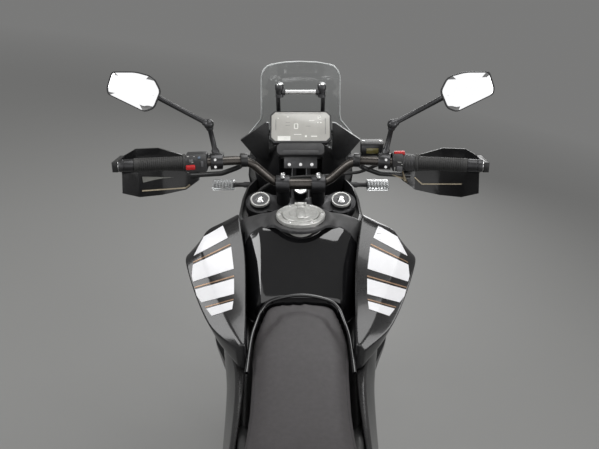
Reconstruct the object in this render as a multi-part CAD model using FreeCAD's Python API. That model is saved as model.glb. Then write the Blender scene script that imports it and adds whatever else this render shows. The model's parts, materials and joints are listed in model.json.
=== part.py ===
import FreeCAD, Part
import math
import os
from FreeCAD import Vector

# Adventure motorcycle, in millimetres. It is drawn upright: X to the rider's right, Y forward from the
# rear axle, Z up from the line through both tyres' lowest points. At the end it is leaned over onto its
# side stand and moved so that the origin lies under the middle of its box.

# Driving dimensions of the whole machine
wheelbase = 1505.0
lean = 11.0
rake = 27.0
fork_offset = 28.0
axle_lead = 28.0
fork_half_spacing = 105.0
steering_lock = 38.0
front_radius = 348.0
front_width = 90.0
rear_radius = 327.0
rear_width = 140.0

# Clearances and walls
running_gap = 0.05
seat_gap = 0.3
moving_gap = 5.0
panel_wall = 4.0

X_AXIS = Vector(1, 0, 0)
Y_AXIS = Vector(0, 1, 0)
Z_AXIS = Vector(0, 0, 1)
ORIGIN = Vector(0, 0, 0)


def along(start, end, share):
    return start + (end - start) * share


def rod(start, end, radius):
    return Part.makeCylinder(radius, (end - start).Length, start, end - start)


def box(x_span, y_span, z_span):
    corner = Vector(x_span[0], y_span[0], z_span[0])
    return Part.makeBox(x_span[1] - x_span[0], y_span[1] - y_span[0], z_span[1] - z_span[0], corner)


def polygon(points):
    return Part.makePolygon(list(points) + [points[0]])


def plate(points, direction):
    # a flat outline pushed along a vector
    return Part.Face(polygon(points)).extrude(direction)


def side_plate(points, x_span):
    # points are (y, z) pairs
    outline = [Vector(x_span[0], y, z) for y, z in points]
    return plate(outline, Vector(x_span[1] - x_span[0], 0, 0))


def front_plate(points, y_span):
    # points are (x, z) pairs
    return plate([Vector(x, y_span[0], z) for x, z in points], Vector(0, y_span[1] - y_span[0], 0))


def route(points, bend):
    # straight runs joined by tangent arcs
    edges = []
    start = points[0]
    for before, corner, after in zip(points, points[1:], points[2:]):
        back = (before - corner).normalize()
        ahead = (after - corner).normalize()
        half_turn = (math.pi - back.getAngle(ahead)) / 2
        shorter = min((before - corner).Length, (after - corner).Length)
        radius = min(bend, 0.45 * shorter / math.tan(half_turn))
        reach = radius * math.tan(half_turn)
        first = corner + back * reach
        last = corner + ahead * reach
        to_centre = (back + ahead).normalize()
        middle = corner + to_centre * (radius / math.cos(half_turn) - radius)
        edges.append(Part.LineSegment(start, first).toShape())
        edges.append(Part.Arc(first, middle, last).toShape())
        start = last
    edges.append(Part.LineSegment(start, points[-1]).toShape())
    return Part.Wire(edges)


def tube(points, radius, bend=60.0):
    path = route(points, bend)
    profile = Part.Wire([Part.Circle(points[0], points[1] - points[0], radius).toShape()])
    return path.makePipeShell([profile], True, False)


def loft(sections):
    return Part.makeLoft([polygon(section) for section in sections], True, True)


def body_loft(stations):
    # stations are (y, ((x, z), ...)) with as many points in each
    return loft([[Vector(x, y, z) for x, z in points] for y, points in stations])


def mirrored(shape):
    return shape.mirror(ORIGIN, X_AXIS)


def both_sides(shape):
    return shape.fuse(mirrored(shape))


def joined(shapes):
    whole = shapes[0].multiFuse(shapes[1:]) if len(shapes) > 1 else shapes[0]
    return whole.removeSplitter()


def turned(shape, centre, axis, angle):
    copy = shape.copy()
    copy.rotate(centre, axis, angle)
    return copy


# Steering frame: a point is given by its x, how far ahead of the steering axis, and how far up along it
steer_up = Vector(0, -math.sin(math.radians(rake)), math.cos(math.radians(rake)))
steer_ahead = Vector(0, math.cos(math.radians(rake)), math.sin(math.radians(rake)))

# A round tyre leaned over stands on its crown, so its axle is a little higher than its radius
lean_rise = 1 / math.cos(math.radians(lean)) - 1


def crown_radius(half_chord, height):
    return (half_chord ** 2 + height ** 2) / (2 * height)


front_crown = (42.0, 21.0)
rear_crown = (66.0, 30.0)
front_axle = Vector(0, wheelbase, front_radius + crown_radius(*front_crown) * lean_rise)
rear_axle = Vector(0, 0, rear_radius + crown_radius(*rear_crown) * lean_rise)
steer_foot = front_axle - steer_ahead * (fork_offset + axle_lead)


def steer_point(x, ahead, up):
    return steer_foot + X_AXIS * x + steer_ahead * ahead + steer_up * up


def ring_of(axle, profile):
    # a closed (x, radius) outline of straight lines turned about the wheel's axis
    outline = polygon([axle + Vector(x, 0, radius) for x, radius in profile])
    return Part.Face(outline).revolve(axle, X_AXIS, 360)


def tyre(axle, radius, width, crown, rim):
    # crown and side walls are arcs, the beads are straight
    half_chord, crown_height = crown
    shoulder = radius - crown_height
    bead = rim["bead_half"]
    seat = rim["seat"]
    bead_top = seat + rim["flange_height"]
    half = width / 2

    def at(x, r):
        return axle + Vector(x, 0, r)

    side_middle = (bead_top + shoulder) / 2
    edges = [
        Part.Arc(at(-half_chord, shoulder), at(0, radius), at(half_chord, shoulder)).toShape(),
        Part.Arc(at(half_chord, shoulder), at(half, side_middle), at(bead, bead_top)).toShape(),
        Part.LineSegment(at(bead, bead_top), at(bead, seat)).toShape(),
        Part.LineSegment(at(bead, seat), at(-bead, seat)).toShape(),
        Part.LineSegment(at(-bead, seat), at(-bead, bead_top)).toShape(),
        Part.Arc(at(-bead, bead_top), at(-half, side_middle), at(-half_chord, shoulder)).toShape(),
    ]
    return Part.Face(Part.Wire(edges)).revolve(axle, X_AXIS, 360)


def wheel_rim(axle, rim, hub):
    seat = rim["seat"]
    bead = rim["bead_half"]
    outer = bead + rim["flange"]
    top = seat + rim["flange_height"]
    well = seat - rim["well_depth"]
    hoop = ring_of(axle, [(-outer, top), (-bead, top), (-bead, seat), (bead, seat), (bead, top),
                          (outer, top), (outer, seat - rim["lip"]), (rim["well_half"], well),
                          (-rim["well_half"], well), (-outer, seat - rim["lip"])])
    barrel = rod(axle + X_AXIS * hub["left"], axle + X_AXIS * hub["right"], hub["radius"])
    pieces = [hoop, barrel]
    for end, spacer in (("left", "left_spacer"), ("right", "right_spacer")):
        pieces.append(rod(axle + X_AXIS * hub[end] * 0.5, axle + X_AXIS * hub[spacer], hub["spacer_radius"]))
    for side in (-1, 1):
        flange_x = side * hub["flange_x"]
        start = axle + X_AXIS * (flange_x - hub["flange_wall"] / 2)
        pieces.append(rod(start, start + X_AXIS * hub["flange_wall"], hub["flange_radius"] + 5))
    count = rim["spokes"]
    for index in range(count):
        side = 1 if index % 2 else -1
        cross = 1 if (index // 2) % 2 else -1
        rim_angle = 360.0 * index / count
        hub_angle = rim_angle + cross * hub["cross_angle"]
        foot = axle + polar(side * hub["flange_x"], hub["flange_radius"], hub_angle)
        head = axle + polar(side * rim["spoke_x"], well + 3, rim_angle)
        pieces.append(rod(foot, head, rim["spoke_radius"]))
    bore = rod(axle + X_AXIS * (hub["left_spacer"] - 1), axle + X_AXIS * (hub["right_spacer"] + 1),
               hub["axle_radius"] + running_gap)
    return pieces[0].multiFuse(pieces[1:]).cut(bore)


def polar(x, radius, angle):
    turn = math.radians(angle)
    return Vector(x, radius * math.sin(turn), radius * math.cos(turn))


def brake_disc(axle, disc):
    # outer friction ring, carrier arms and the inner ring that is bolted to the hub
    x = disc["x"]
    half = disc["thickness"] / 2
    start = axle + X_AXIS * (x - half)
    end = axle + X_AXIS * (x + half)
    ring = rod(start, end, disc["radius"]).cut(rod(start, end, disc["radius"] - disc["band"]))
    inner = rod(start, end, disc["inner"] + 14).cut(rod(start, end, disc["inner"]))
    arms = []
    for index in range(disc["arms"]):
        angle = 360.0 * index / disc["arms"]
        foot = axle + polar(x, disc["inner"] + 7, angle)
        head = axle + polar(x, disc["radius"] - disc["band"] + 6, angle)
        width = polar(0, 9, angle + 90)
        outline = [foot - width, foot + width, head + width * 0.7, head - width * 0.7]
        arms.append(plate([point - X_AXIS * half for point in outline], X_AXIS * disc["thickness"]))
    return joined([ring, inner] + arms)


# Wheels
front_rim = {"seat": 267.0, "bead_half": 27.0, "flange": 4.0, "flange_height": 13.0, "well_depth": 16.0,
             "well_half": 14.0, "lip": 5.0, "spokes": 36, "spoke_x": 7.0, "spoke_radius": 2.0}
rear_rim = {"seat": 228.5, "bead_half": 45.0, "flange": 4.5, "flange_height": 13.0, "well_depth": 16.0,
            "well_half": 26.0, "lip": 5.0, "spokes": 36, "spoke_x": 15.0, "spoke_radius": 2.2}
front_axle_radius = 12.5
rear_axle_radius = 10.0
front_disc = {"x": -66.0, "thickness": 5.0, "radius": 160.0, "band": 38.0, "inner": 30.0, "arms": 6}
rear_disc = {"x": 88.0, "thickness": 5.0, "radius": 120.0, "band": 34.0, "inner": 34.0, "arms": 5}
front_lug_half = 24.0
front_hub_reach = fork_half_spacing - front_lug_half - 1.0
front_hub = {"left": front_disc["x"] - 2.5 - 4, "right": 58.0, "left_spacer": -front_hub_reach,
             "right_spacer": front_hub_reach, "radius": 30.0, "spacer_radius": 17.0, "flange_x": 33.0,
             "flange_wall": 8.0, "flange_radius": 38.0, "cross_angle": 52.0,
             "axle_radius": front_axle_radius}
sprocket = {"x": -97.0, "thickness": 7.0, "teeth": 48, "drive_teeth": 15, "inner": 34.0}
arm_inner = 112.0
arm_wall = 28.0
rear_hub = {"left": sprocket["x"] - 3.5 - 4, "right": rear_disc["x"] + 2.5 + 4, "left_spacer": -arm_inner + 1,
            "right_spacer": arm_inner - 1, "radius": 34.0, "spacer_radius": 17.0, "flange_x": 38.0,
            "flange_wall": 8.0, "flange_radius": 46.0, "cross_angle": 48.0,
            "axle_radius": rear_axle_radius}


def front_wheel_nodes():
    disc = brake_disc(front_axle, front_disc)
    rim = wheel_rim(front_axle, front_rim, front_hub)
    return {
        "front_tyre": tyre(front_axle, front_radius, front_width, front_crown, front_rim),
        "front_rim": rim,
        "front_disc": disc.cut(rim),
    }


chain_pitch = 15.875
chain_height = 15.0
chain_width = 17.0
chain_roller_gap = 1.5


def pitch_radius(teeth):
    return chain_pitch / (2 * math.sin(math.pi / teeth))


def rear_wheel_nodes():
    x = sprocket["x"]
    half = sprocket["thickness"] / 2
    start = rear_axle + X_AXIS * (x - half)
    end = rear_axle + X_AXIS * (x + half)
    root = pitch_radius(sprocket["teeth"]) - chain_height / 2 - chain_roller_gap
    rim = wheel_rim(rear_axle, rear_rim, rear_hub)
    cog = rod(start, end, root).cut(rod(start, end, sprocket["inner"]))
    windows = []
    for index in range(6):
        centre = rear_axle + polar(x, root * 0.64, 60.0 * index + 30)
        windows.append(rod(centre - X_AXIS * 5, centre + X_AXIS * 5, 20))
    return {
        "rear_tyre": tyre(rear_axle, rear_radius, rear_width, rear_crown, rear_rim),
        "rear_rim": rim,
        "rear_disc": brake_disc(rear_axle, rear_disc).cut(rim),
        "rear_sprocket": cog.cut(Part.makeCompound(windows)),
    }


# Fork and triple clamps
fork_outer = 26.0
fork_inner = 20.5
fork_top = 804.0
fork_outer_foot = 330.0
fork_lug_top = 70.0
stem_radius = 24.0
lower_clamp = (560.0, 590.0)
upper_clamp = (772.0, 798.0)
clamp_ring = 12.0
bar_centre = Vector(0, 1090, 1107)
bar_radius = 11.1
bar_middle_radius = 14.3
bar_bend_x = 62.0
bar_knee = Vector(130, 1072, 1176)
bar_end = Vector(430, 1006, 1182)
riser_x = 45.0


def steer_plate(outline, low_x, high_x):
    # an outline of (ahead, up) pairs in the steering frame, as wide as the span in x
    return plate([steer_point(low_x, ahead, up) for ahead, up in outline], X_AXIS * (high_x - low_x))


def clamp_plate(span):
    low, high = span
    outline = []
    legs = []
    for x, ahead, radius in ((-fork_half_spacing, fork_offset, fork_outer + clamp_ring),
                             (0.0, 0.0, stem_radius + clamp_ring),
                             (fork_half_spacing, fork_offset, fork_outer + clamp_ring)):
        legs.append(rod(steer_point(x, ahead, low), steer_point(x, ahead, high), radius))
    reach = fork_half_spacing
    for x, ahead in ((-reach, fork_offset - 24), (0, -26), (reach, fork_offset - 24),
                     (reach, fork_offset + 30), (0, fork_offset + 12), (-reach, fork_offset + 30)):
        outline.append(steer_point(x, ahead, low))
    return joined(legs + [plate(outline, steer_up * (high - low))])


def triple_clamps():
    risers = []
    for side in (-1, 1):
        foot = steer_point(side * riser_x, 30, upper_clamp[1] - 1)
        head = bar_centre + X_AXIS * side * riser_x
        risers.append(rod(foot, head, 17.0))
        cap_start = head - X_AXIS * 17
        risers.append(rod(cap_start, cap_start + X_AXIS * 34, bar_middle_radius + 8))
    stem = rod(steer_point(0, 0, lower_clamp[0] - 12), steer_point(0, 0, upper_clamp[1] + 8), stem_radius)
    lock_foot = steer_point(0, 52, upper_clamp[0])
    lock = rod(lock_foot, lock_foot + steer_up * 50, 18)
    bar_bore = rod(bar_centre - X_AXIS * 80, bar_centre + X_AXIS * 80, bar_middle_radius)
    return joined([clamp_plate(lower_clamp), clamp_plate(upper_clamp), stem, lock] + risers).cut(bar_bore)


def fork_legs():
    legs = []
    for side in (-1, 1):
        x = side * fork_half_spacing
        outer = rod(steer_point(x, fork_offset, fork_outer_foot), steer_point(x, fork_offset, fork_top), fork_outer)
        inner = rod(steer_point(x, fork_offset, 10), steer_point(x, fork_offset, fork_outer_foot + 5), fork_inner)
        wiper = rod(steer_point(x, fork_offset, fork_outer_foot - 8), steer_point(x, fork_offset, fork_outer_foot), 24)
        outline = [(fork_offset - 24, fork_lug_top), (fork_offset + 24, fork_lug_top),
                   (fork_offset + axle_lead + 24, 20), (fork_offset + axle_lead + 24, -20),
                   (fork_offset + axle_lead - 4, -34), (fork_offset - 18, -10)]
        inner_face = x - front_lug_half
        lug = plate([steer_point(inner_face, ahead, up) for ahead, up in outline],
                    X_AXIS * (2 * front_lug_half))
        legs.append(joined([outer, inner, wiper, lug]))
    bore = rod(front_axle - X_AXIS * 200, front_axle + X_AXIS * 200, front_axle_radius)
    return Part.makeCompound([leg.cut(bore) for leg in legs])


front_axle_bore = 8.5


def front_axle_pin():
    reach = fork_half_spacing + front_lug_half
    pin = rod(front_axle - X_AXIS * (reach + 3), front_axle + X_AXIS * (reach + 3), front_axle_radius)
    head = rod(front_axle + X_AXIS * reach, front_axle + X_AXIS * (reach + 6), front_axle_radius + 5)
    bore = rod(front_axle - X_AXIS * 200, front_axle + X_AXIS * 200, front_axle_bore)
    return joined([pin, head]).cut(bore)


# Low front mudguard, an arched shell carried on the fork's lower tubes
guard_gap = 22.0
guard_wall = 4.0
guard_half = 62.0
guard_span = (-62.0, 48.0)


def front_mudguard():
    inner = front_radius + guard_gap
    section = [(-guard_half, inner - 34), (-guard_half + 12, inner - 6), (0, inner), (guard_half - 12, inner - 6),
               (guard_half, inner - 34), (guard_half - guard_wall, inner - 34),
               (guard_half - 14, inner - 10), (0, inner - guard_wall), (-guard_half + 14, inner - 10),
               (-guard_half + guard_wall, inner - 34)]
    outline = polygon([front_axle + Vector(x, 0, radius + guard_wall) for x, radius in section])
    arch = Part.Face(outline)
    arch.rotate(front_axle, X_AXIS, -guard_span[1])
    arch = arch.revolve(front_axle, X_AXIS, guard_span[1] - guard_span[0])
    skirt = guard_half - guard_wall
    tube_face = fork_half_spacing - fork_inner
    front = fork_offset + fork_inner + seat_gap
    ear = steer_plate([(fork_offset - 20, 285), (front, 285), (front, 352), (fork_offset - 20, 352)], skirt, guard_half)
    bridge = steer_plate([(fork_offset - 10, 290), (front + 5, 290), (front + 5, 316), (fork_offset - 10, 316)],
                         skirt, tube_face - seat_gap)
    shield = steer_plate([(front, fork_lug_top), (front + 5, fork_lug_top), (front + 5, 318), (front, 318)],
                         tube_face - 4, fork_half_spacing + fork_inner)
    return joined([arch, both_sides(joined([ear, bridge, shield]))])


def front_caliper():
    # a block over the disc's rear edge, slotted for the disc, with an arm to the left leg
    disc = front_disc
    angle = -68.0
    centre = front_axle + polar(disc["x"], disc["radius"] - 12, angle)
    length, height = 92.0, 58.0
    block = Part.makeBox(58, length, height, Vector(disc["x"] - 26, centre.y - length / 2, centre.z - height / 2))
    block = turned(block, centre, X_AXIS, -angle)
    slot_half = disc["thickness"] / 2 + moving_gap
    slot = ring_of(front_axle, [(disc["x"] - slot_half, 60), (disc["x"] + slot_half, 60),
                                (disc["x"] + slot_half, disc["radius"] + moving_gap),
                                (disc["x"] - slot_half, disc["radius"] + moving_gap)])
    block = block.cut(slot)
    x = -fork_half_spacing
    arm = plate([steer_point(x - 4, fork_offset - 22, 40), steer_point(x - 4, fork_offset - 22, 66),
                 Vector(x - 4, centre.y + 20, centre.z + 36), Vector(x - 4, centre.y + 12, centre.z - 18)],
                X_AXIS * 20)
    return joined([block, arm])


def handlebar():
    left_end = Vector(-bar_end.x, bar_end.y, bar_end.z)
    left_knee = Vector(-bar_knee.x, bar_knee.y, bar_knee.z)
    middle = [bar_centre - X_AXIS * bar_bend_x, bar_centre + X_AXIS * bar_bend_x]
    bar = tube([left_end, left_knee] + middle + [bar_knee, bar_end], bar_radius, 70.0)
    thick = rod(middle[0] + X_AXIS * 4, middle[1] - X_AXIS * 4, bar_middle_radius)
    return joined([bar, thick])


def bar_place(x):
    # a point on the bar's straight outer run, x positive or negative
    share = (abs(x) - bar_knee.x) / (bar_end.x - bar_knee.x)
    point = along(bar_knee, bar_end, share)
    return Vector(math.copysign(point.x, x), point.y, point.z)


grip_span = (278.0, 398.0)
grip_radius = 16.5
weight_radius = 15.0


def grips():
    pieces = []
    for side in (-1, 1):
        grip = rod(bar_place(side * grip_span[0]), bar_place(side * grip_span[1]), grip_radius)
        collar = rod(bar_place(side * grip_span[0]), bar_place(side * (grip_span[0] + 7)), grip_radius + 5)
        weight = rod(bar_place(side * grip_span[1]), bar_place(side * (bar_end.x + 3)), weight_radius)
        pieces.append(joined([grip, collar, weight]))
    return Part.makeCompound(pieces)


# Hand controls sit on the bar inboard of the grips: (outer x, inner x, half depth, half height)
left_switch_box = (276.0, 226.0, 22.0, 24.0)
right_switch_box = (248.0, 222.0, 20.0, 23.0)
throttle_box = (276.0, 249.0, 19.0, 19.0)
perch_span = (192.0, 220.0)


def bar_block(side, spec):
    outer, inner, depth, height = spec
    start = bar_place(side * inner)
    end = bar_place(side * outer)
    run = end - start
    corners = []
    for across, up in ((-depth, -height * 0.8), (-depth, height * 0.5), (-depth * 0.5, height), (depth * 0.6, height),
                       (depth, height * 0.4), (depth, -height * 0.8)):
        corners.append(start + Y_AXIS * across + Z_AXIS * up)
    return plate(corners, run)


def switch_housings():
    left = bar_block(-1, left_switch_box)
    right = joined([bar_block(1, right_switch_box), bar_block(1, throttle_box)])
    return Part.makeCompound([left, right])


lever_reach = 58.0
reservoir_low = Vector(152, 1098, 1178)
reservoir_size = (54.0, 40.0, 30.0)


def hand_levers():
    pieces = []
    for side in (-1, 1):
        start = bar_place(side * perch_span[0])
        end = bar_place(side * perch_span[1])
        ring = rod(start, end, bar_radius + 9)
        head = Part.makeBox(abs(end.x - start.x), 42, 22, Vector(min(start.x, end.x), start.y, start.z - 12))
        pivot = bar_place(side * 214) + Y_AXIS * 34
        tip = bar_place(side * 392) + Y_AXIS * lever_reach - Z_AXIS * 10
        knee = bar_place(side * 250) + Y_AXIS * (lever_reach - 4) - Z_AXIS * 4
        lever = tube([pivot, knee, tip], 6.0, 60.0)
        parts = [ring, head, lever]
        if side > 0:
            low = reservoir_low
            size = reservoir_size
            parts.append(box((low.x, low.x + size[0]), (low.y, low.y + size[1]), (low.z, low.z + size[2])))
        pieces.append(joined(parts))
    return Part.makeCompound(pieces)


# Hand guards: a curved shell ahead of each grip, held at the bar's end and at a clamp near the knee.
# Each row is x, y, the lower edge's z and the upper edge's z
guard_rows = ((258.0, 1110.0, 1112.0, 1138.0), (296.0, 1126.0, 1080.0, 1172.0), (360.0, 1124.0, 1066.0, 1192.0),
              (412.0, 1102.0, 1068.0, 1196.0), (444.0, 1060.0, 1094.0, 1184.0))
hand_guard_wall = 4.0
guard_crown = 14.0
guard_foot_x = 140.0


def hand_guard():
    shell = []
    for x, y, low, high in guard_rows:
        middle = (low + high) / 2
        shell.append([Vector(x, y, low), Vector(x, y + guard_crown, middle), Vector(x, y, high),
                      Vector(x, y - hand_guard_wall, high), Vector(x, y + guard_crown - hand_guard_wall, middle),
                      Vector(x, y - hand_guard_wall, low)])
    blade = loft(shell)
    outer_y = guard_rows[-1][1]
    end = bar_place(bar_end.x + 3)
    end_stay = plate([Vector(end.x, end.y - 12, end.z - 12), Vector(end.x, end.y - 12, end.z + 12),
                      Vector(end.x, outer_y + 16, end.z + 4), Vector(end.x, outer_y + 16, end.z - 30)], X_AXIS * 12)
    foot = bar_place(guard_foot_x)
    knee = Vector(200, 1104, 1130)
    stay = tube([foot, foot + Vector(10, 24, -24), knee, Vector(280, 1120, 1120)], 6.5, 40.0)
    ring = rod(bar_place(guard_foot_x - 8), bar_place(guard_foot_x + 8), bar_radius + 6)
    return joined([blade, end_stay, stay, ring])


def hand_guards():
    guard = hand_guard()
    return Part.makeCompound([guard, mirrored(guard)])


# Mirrors: perch on the bar, stem with a ball joint, and a flat head. Glass corners are (x, z) from its middle
mirror_centre = Vector(398.0, 1062.0, 1352.0)
mirror_corners = ((-70.0, -4.0), (-54.0, 30.0), (-12.0, 42.0), (46.0, 42.0), (60.0, 4.0), (58.0, -11.0),
                  (-28.0, -53.0), (-52.0, -44.0))
mirror_depth = 16.0
mirror_tilt = 12.0
mirror_ball = Vector(222.0, 1072.0, 1266.0)
mirror_foot_x = 206.0


def mirror():
    corners = [mirror_centre + Vector(x, 0, z) for x, z in mirror_corners]
    back = [mirror_centre + Vector(x * 0.8, mirror_depth, z * 0.8) for x, z in mirror_corners]
    head = loft([corners, back])
    head = turned(head, mirror_centre, X_AXIS, -mirror_tilt)
    foot = bar_place(mirror_foot_x) + Vector(0, 12, 8)
    socket = mirror_centre + Vector(-50, mirror_depth * 0.6, -16)
    stem = joined([rod(foot, mirror_ball, 6.5), rod(mirror_ball, socket, 6.5), Part.makeSphere(13, mirror_ball),
                   rod(foot - Z_AXIS * 4, along(foot, mirror_ball, 0.22), 10), Part.makeSphere(13, socket)])
    return joined([head, stem])


def mirrors():
    one = mirror()
    return Part.makeCompound([one, mirrored(one)])


# Frame
head_tube = (604.0, 758.0)
head_tube_radius = 33.0
beam_radius = 17.0
down_radius = 14.0
pivot = Vector(0, 525, 425)
pivot_pin_radius = 11.0
pivot_plate_inner = 118.0
pivot_plate_wall = 12.0
down_tube_x = 95.0
shock_top = Vector(0, 425, 682)

# Side stand. Its foot lies flat on the floor when the machine leans on it
stand_pivot = Vector(-140, 500, 286)
stand_axis = Vector(-0.83, 0.0, 0.56).normalize()
stand_boss_reach = 26.0
stand_boss_radius = 15.0
stand_pin_radius = 6.0
stand_eye = 14.0
stand_foot_x = -326.0
stand_foot_y = 575.0
stand_radius = 11.0
stand_foot_wall = 6.0
stand_range = 88.0


def main_frame():
    head = rod(steer_point(0, 0, head_tube[0]), steer_point(0, 0, head_tube[1]), head_tube_radius)
    beam = tube([steer_point(18, -10, 735), Vector(118, 985, 868), Vector(126, 800, 790), Vector(124, 600, 650),
                 Vector(124, 530, 490)], beam_radius, 90.0)
    down = tube([steer_point(16, -8, 640), Vector(down_tube_x, 1030, 690), Vector(down_tube_x, 975, 540),
                 Vector(down_tube_x, 948, 330), Vector(down_tube_x, 880, 262), Vector(down_tube_x, 640, 262),
                 Vector(124, 540, 330)], down_radius, 70.0)
    gusset = rod(Vector(down_tube_x, 1030, 690), Vector(124, 800, 790), 11.0)
    cheek = side_plate([(480, 300), (575, 300), (575, 380), (560, 520), (500, 520), (480, 440)],
                       (pivot_plate_inner, pivot_plate_inner + pivot_plate_wall))
    side = joined([beam, down, gusset, cheek])
    cross = rod(Vector(-126, 600, 650), Vector(126, 600, 650), 16.0)
    low_cross = rod(Vector(-124, 545, 310), Vector(124, 545, 310), 12.0)
    top = shock_top
    hanger = side_plate([(top.y - 22, top.z - 18), (top.y + 20, top.z - 22), (600, 636), (600, 664),
                         (top.y + 20, top.z + 20), (top.y - 22, top.z + 16)], (-24, 24))
    fork_cut = box((-18, 18), (top.y - 40, top.y + 36), (top.z - 60, top.z + 60))
    whole = joined([head, side, mirrored(side), cross, low_cross, hanger.cut(fork_cut)])
    bore = rod(steer_point(0, 0, head_tube[0] - 40), steer_point(0, 0, head_tube[1] + 40),
               stem_radius + running_gap)
    pivot_bore = rod(pivot - X_AXIS * 200, pivot + X_AXIS * 200, pivot_pin_radius)
    stand_boss = rod(stand_pivot - stand_axis * stand_boss_reach, stand_pivot, stand_boss_radius)
    stand_pin = rod(stand_pivot, stand_pivot + stand_axis * (stand_eye + 8), stand_pin_radius)
    pin_head = rod(stand_pivot + stand_axis * (stand_eye + seat_gap),
                   stand_pivot + stand_axis * (stand_eye + 8), stand_pin_radius + 5)
    stand_arm = side_plate([(470, 268), (548, 262), (548, 320), (480, 330)],
                           (-pivot_plate_inner - pivot_plate_wall, -104))
    return joined([whole, stand_arm, stand_boss, stand_pin, pin_head]).cut(bore).cut(pivot_bore)



def floor_point(x, y, z):
    # a point given on the floor the machine leans over, in the upright machine's own frame
    turn = math.radians(lean)
    return Vector(x * math.cos(turn) + z * math.sin(turn), y, -x * math.sin(turn) + z * math.cos(turn))


def side_stand():
    # a flat eye outside the frame's boss, a round leg and a shoe flat on the floor
    foot = floor_point(stand_foot_x, stand_foot_y, stand_foot_wall / 2 + 6)
    centre = stand_pivot + stand_axis * stand_eye / 2
    toward = (foot - centre).normalize()
    inner = stand_pivot + stand_axis * seat_gap
    outer_face = stand_pivot + stand_axis * stand_eye
    eye = rod(inner, outer_face, stand_boss_radius + 3)
    flat = (toward - stand_axis * toward.dot(stand_axis)).normalize()
    aside = stand_axis.cross(flat).normalize()
    neck = plate([inner - aside * 16, inner + aside * 16, inner + aside * 11 + flat * 52,
                  inner - aside * 11 + flat * 52], outer_face - inner)
    leg = rod(along(centre, foot, 0.14), foot, stand_radius)
    half_x, half_y = 30.0, 42.0
    corners = [(-half_x, -half_y), (half_x, -half_y), (half_x, half_y), (-half_x, half_y)]
    shoe = plate([floor_point(stand_foot_x + x, stand_foot_y + y, 0) for x, y in corners],
                 floor_point(0, 0, stand_foot_wall))
    bore = rod(stand_pivot - stand_axis, stand_pivot + stand_axis * 30, stand_pin_radius + running_gap)
    head_room = rod(stand_pivot + stand_axis * stand_eye, stand_pivot + stand_axis * 40, stand_pin_radius + 8)
    boss_room = rod(stand_pivot - stand_axis * 40, inner, stand_boss_radius + 10)
    return joined([leg, eye, neck, shoe]).cut(bore).cut(head_room).cut(boss_room)


# Swingarm, rear axle and shock
arm_height = 58.0
arm_reach = 42.0
bobbin_radius = 4.25
bobbin_reach = 14.0
bobbin_depth = 18.0
bobbin_place = (96.0, rear_axle.z - 4)


def swingarm():
    tube_barrel = rod(pivot - X_AXIS * (pivot_plate_inner - 1), pivot + X_AXIS * (pivot_plate_inner - 1), 25.0)
    half = arm_height / 2
    inner, outer = arm_inner, arm_inner + arm_wall
    narrow = 84.0
    end_z = rear_axle.z

    def section(x_low, x_high, y, z, tall):
        return [Vector(x_low, y, z - tall), Vector(x_high, y, z - tall), Vector(x_high, y, z + tall),
                Vector(x_low, y, z + tall)]

    arm = loft([section(narrow, narrow + arm_wall, pivot.y, pivot.z, 20), section(narrow, narrow + arm_wall, 470, 412, half - 4),
                section(inner, outer, 360, 394, half), section(inner, outer, 60, end_z + 8, half - 4),
                section(inner, outer, -arm_reach, end_z, half - 8)])
    brace = box((-narrow - 6, narrow + 6), (436, 470), (392, 432))
    lug = side_plate([(400, 352), (450, 352), (450, 400), (400, 392)], (-17, 17))
    lug = lug.cut(box((-12, 12), (390, 436), (300, 400)))
    bore = rod(rear_axle - X_AXIS * 200, rear_axle + X_AXIS * 200, rear_axle_radius)
    pivot_bore = rod(pivot - X_AXIS * 200, pivot + X_AXIS * 200, pivot_pin_radius)
    bobbin = Vector(outer, *bobbin_place)
    stand_bobbins = both_sides(rod(bobbin - X_AXIS, bobbin + X_AXIS * bobbin_reach, bobbin_radius + 5))
    holes = both_sides(rod(bobbin - X_AXIS * bobbin_depth, bobbin + X_AXIS * (bobbin_reach + 1), bobbin_radius))
    return joined([tube_barrel, both_sides(arm), brace, lug, stand_bobbins]).cut(bore).cut(pivot_bore).cut(holes)



def rear_axle_pin():
    reach = arm_inner + arm_wall
    pin = rod(rear_axle - X_AXIS * (reach + 12), rear_axle + X_AXIS * (reach + 12), rear_axle_radius)
    nuts = [rod(rear_axle + X_AXIS * side * reach, rear_axle + X_AXIS * side * (reach + 9), 16.0) for side in (-1, 1)]
    swing_pin = rod(pivot - X_AXIS * (pivot_plate_inner + pivot_plate_wall + 8),
                    pivot + X_AXIS * (pivot_plate_inner + pivot_plate_wall + 8), pivot_pin_radius)
    caps = [rod(pivot + X_AXIS * side * (pivot_plate_inner + pivot_plate_wall),
                pivot + X_AXIS * side * (pivot_plate_inner + pivot_plate_wall + 8), 18.0) for side in (-1, 1)]
    return Part.makeCompound([joined([pin] + nuts), joined([swing_pin] + caps)])


shock_foot = Vector(0, 422, 372)


def rear_shock():
    axis = shock_top - shock_foot
    body = rod(shock_foot, shock_top, 13.0)
    coil = []
    turns = 8
    for index in range(turns):
        centre = along(shock_foot, shock_top, 0.2 + 0.56 * index / (turns - 1))
        coil.append(Part.makeTorus(28, 6, centre, axis))
    seats = [rod(along(shock_foot, shock_top, low), along(shock_foot, shock_top, high), 36.0)
             for low, high in ((0.14, 0.19), (0.78, 0.83))]
    sleeve = rod(along(shock_foot, shock_top, 0.15), along(shock_foot, shock_top, 0.82), 25.0)
    eyes = [rod(end - X_AXIS * 11.5, end + X_AXIS * 11.5, 16.0) for end in (shock_foot, shock_top)]
    pins = [rod(shock_foot - X_AXIS * 17, shock_foot + X_AXIS * 17, 5.0),
            rod(shock_top - X_AXIS * 24, shock_top + X_AXIS * 24, 5.0)]
    return joined([body, sleeve] + coil + seats + eyes + pins)


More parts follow.
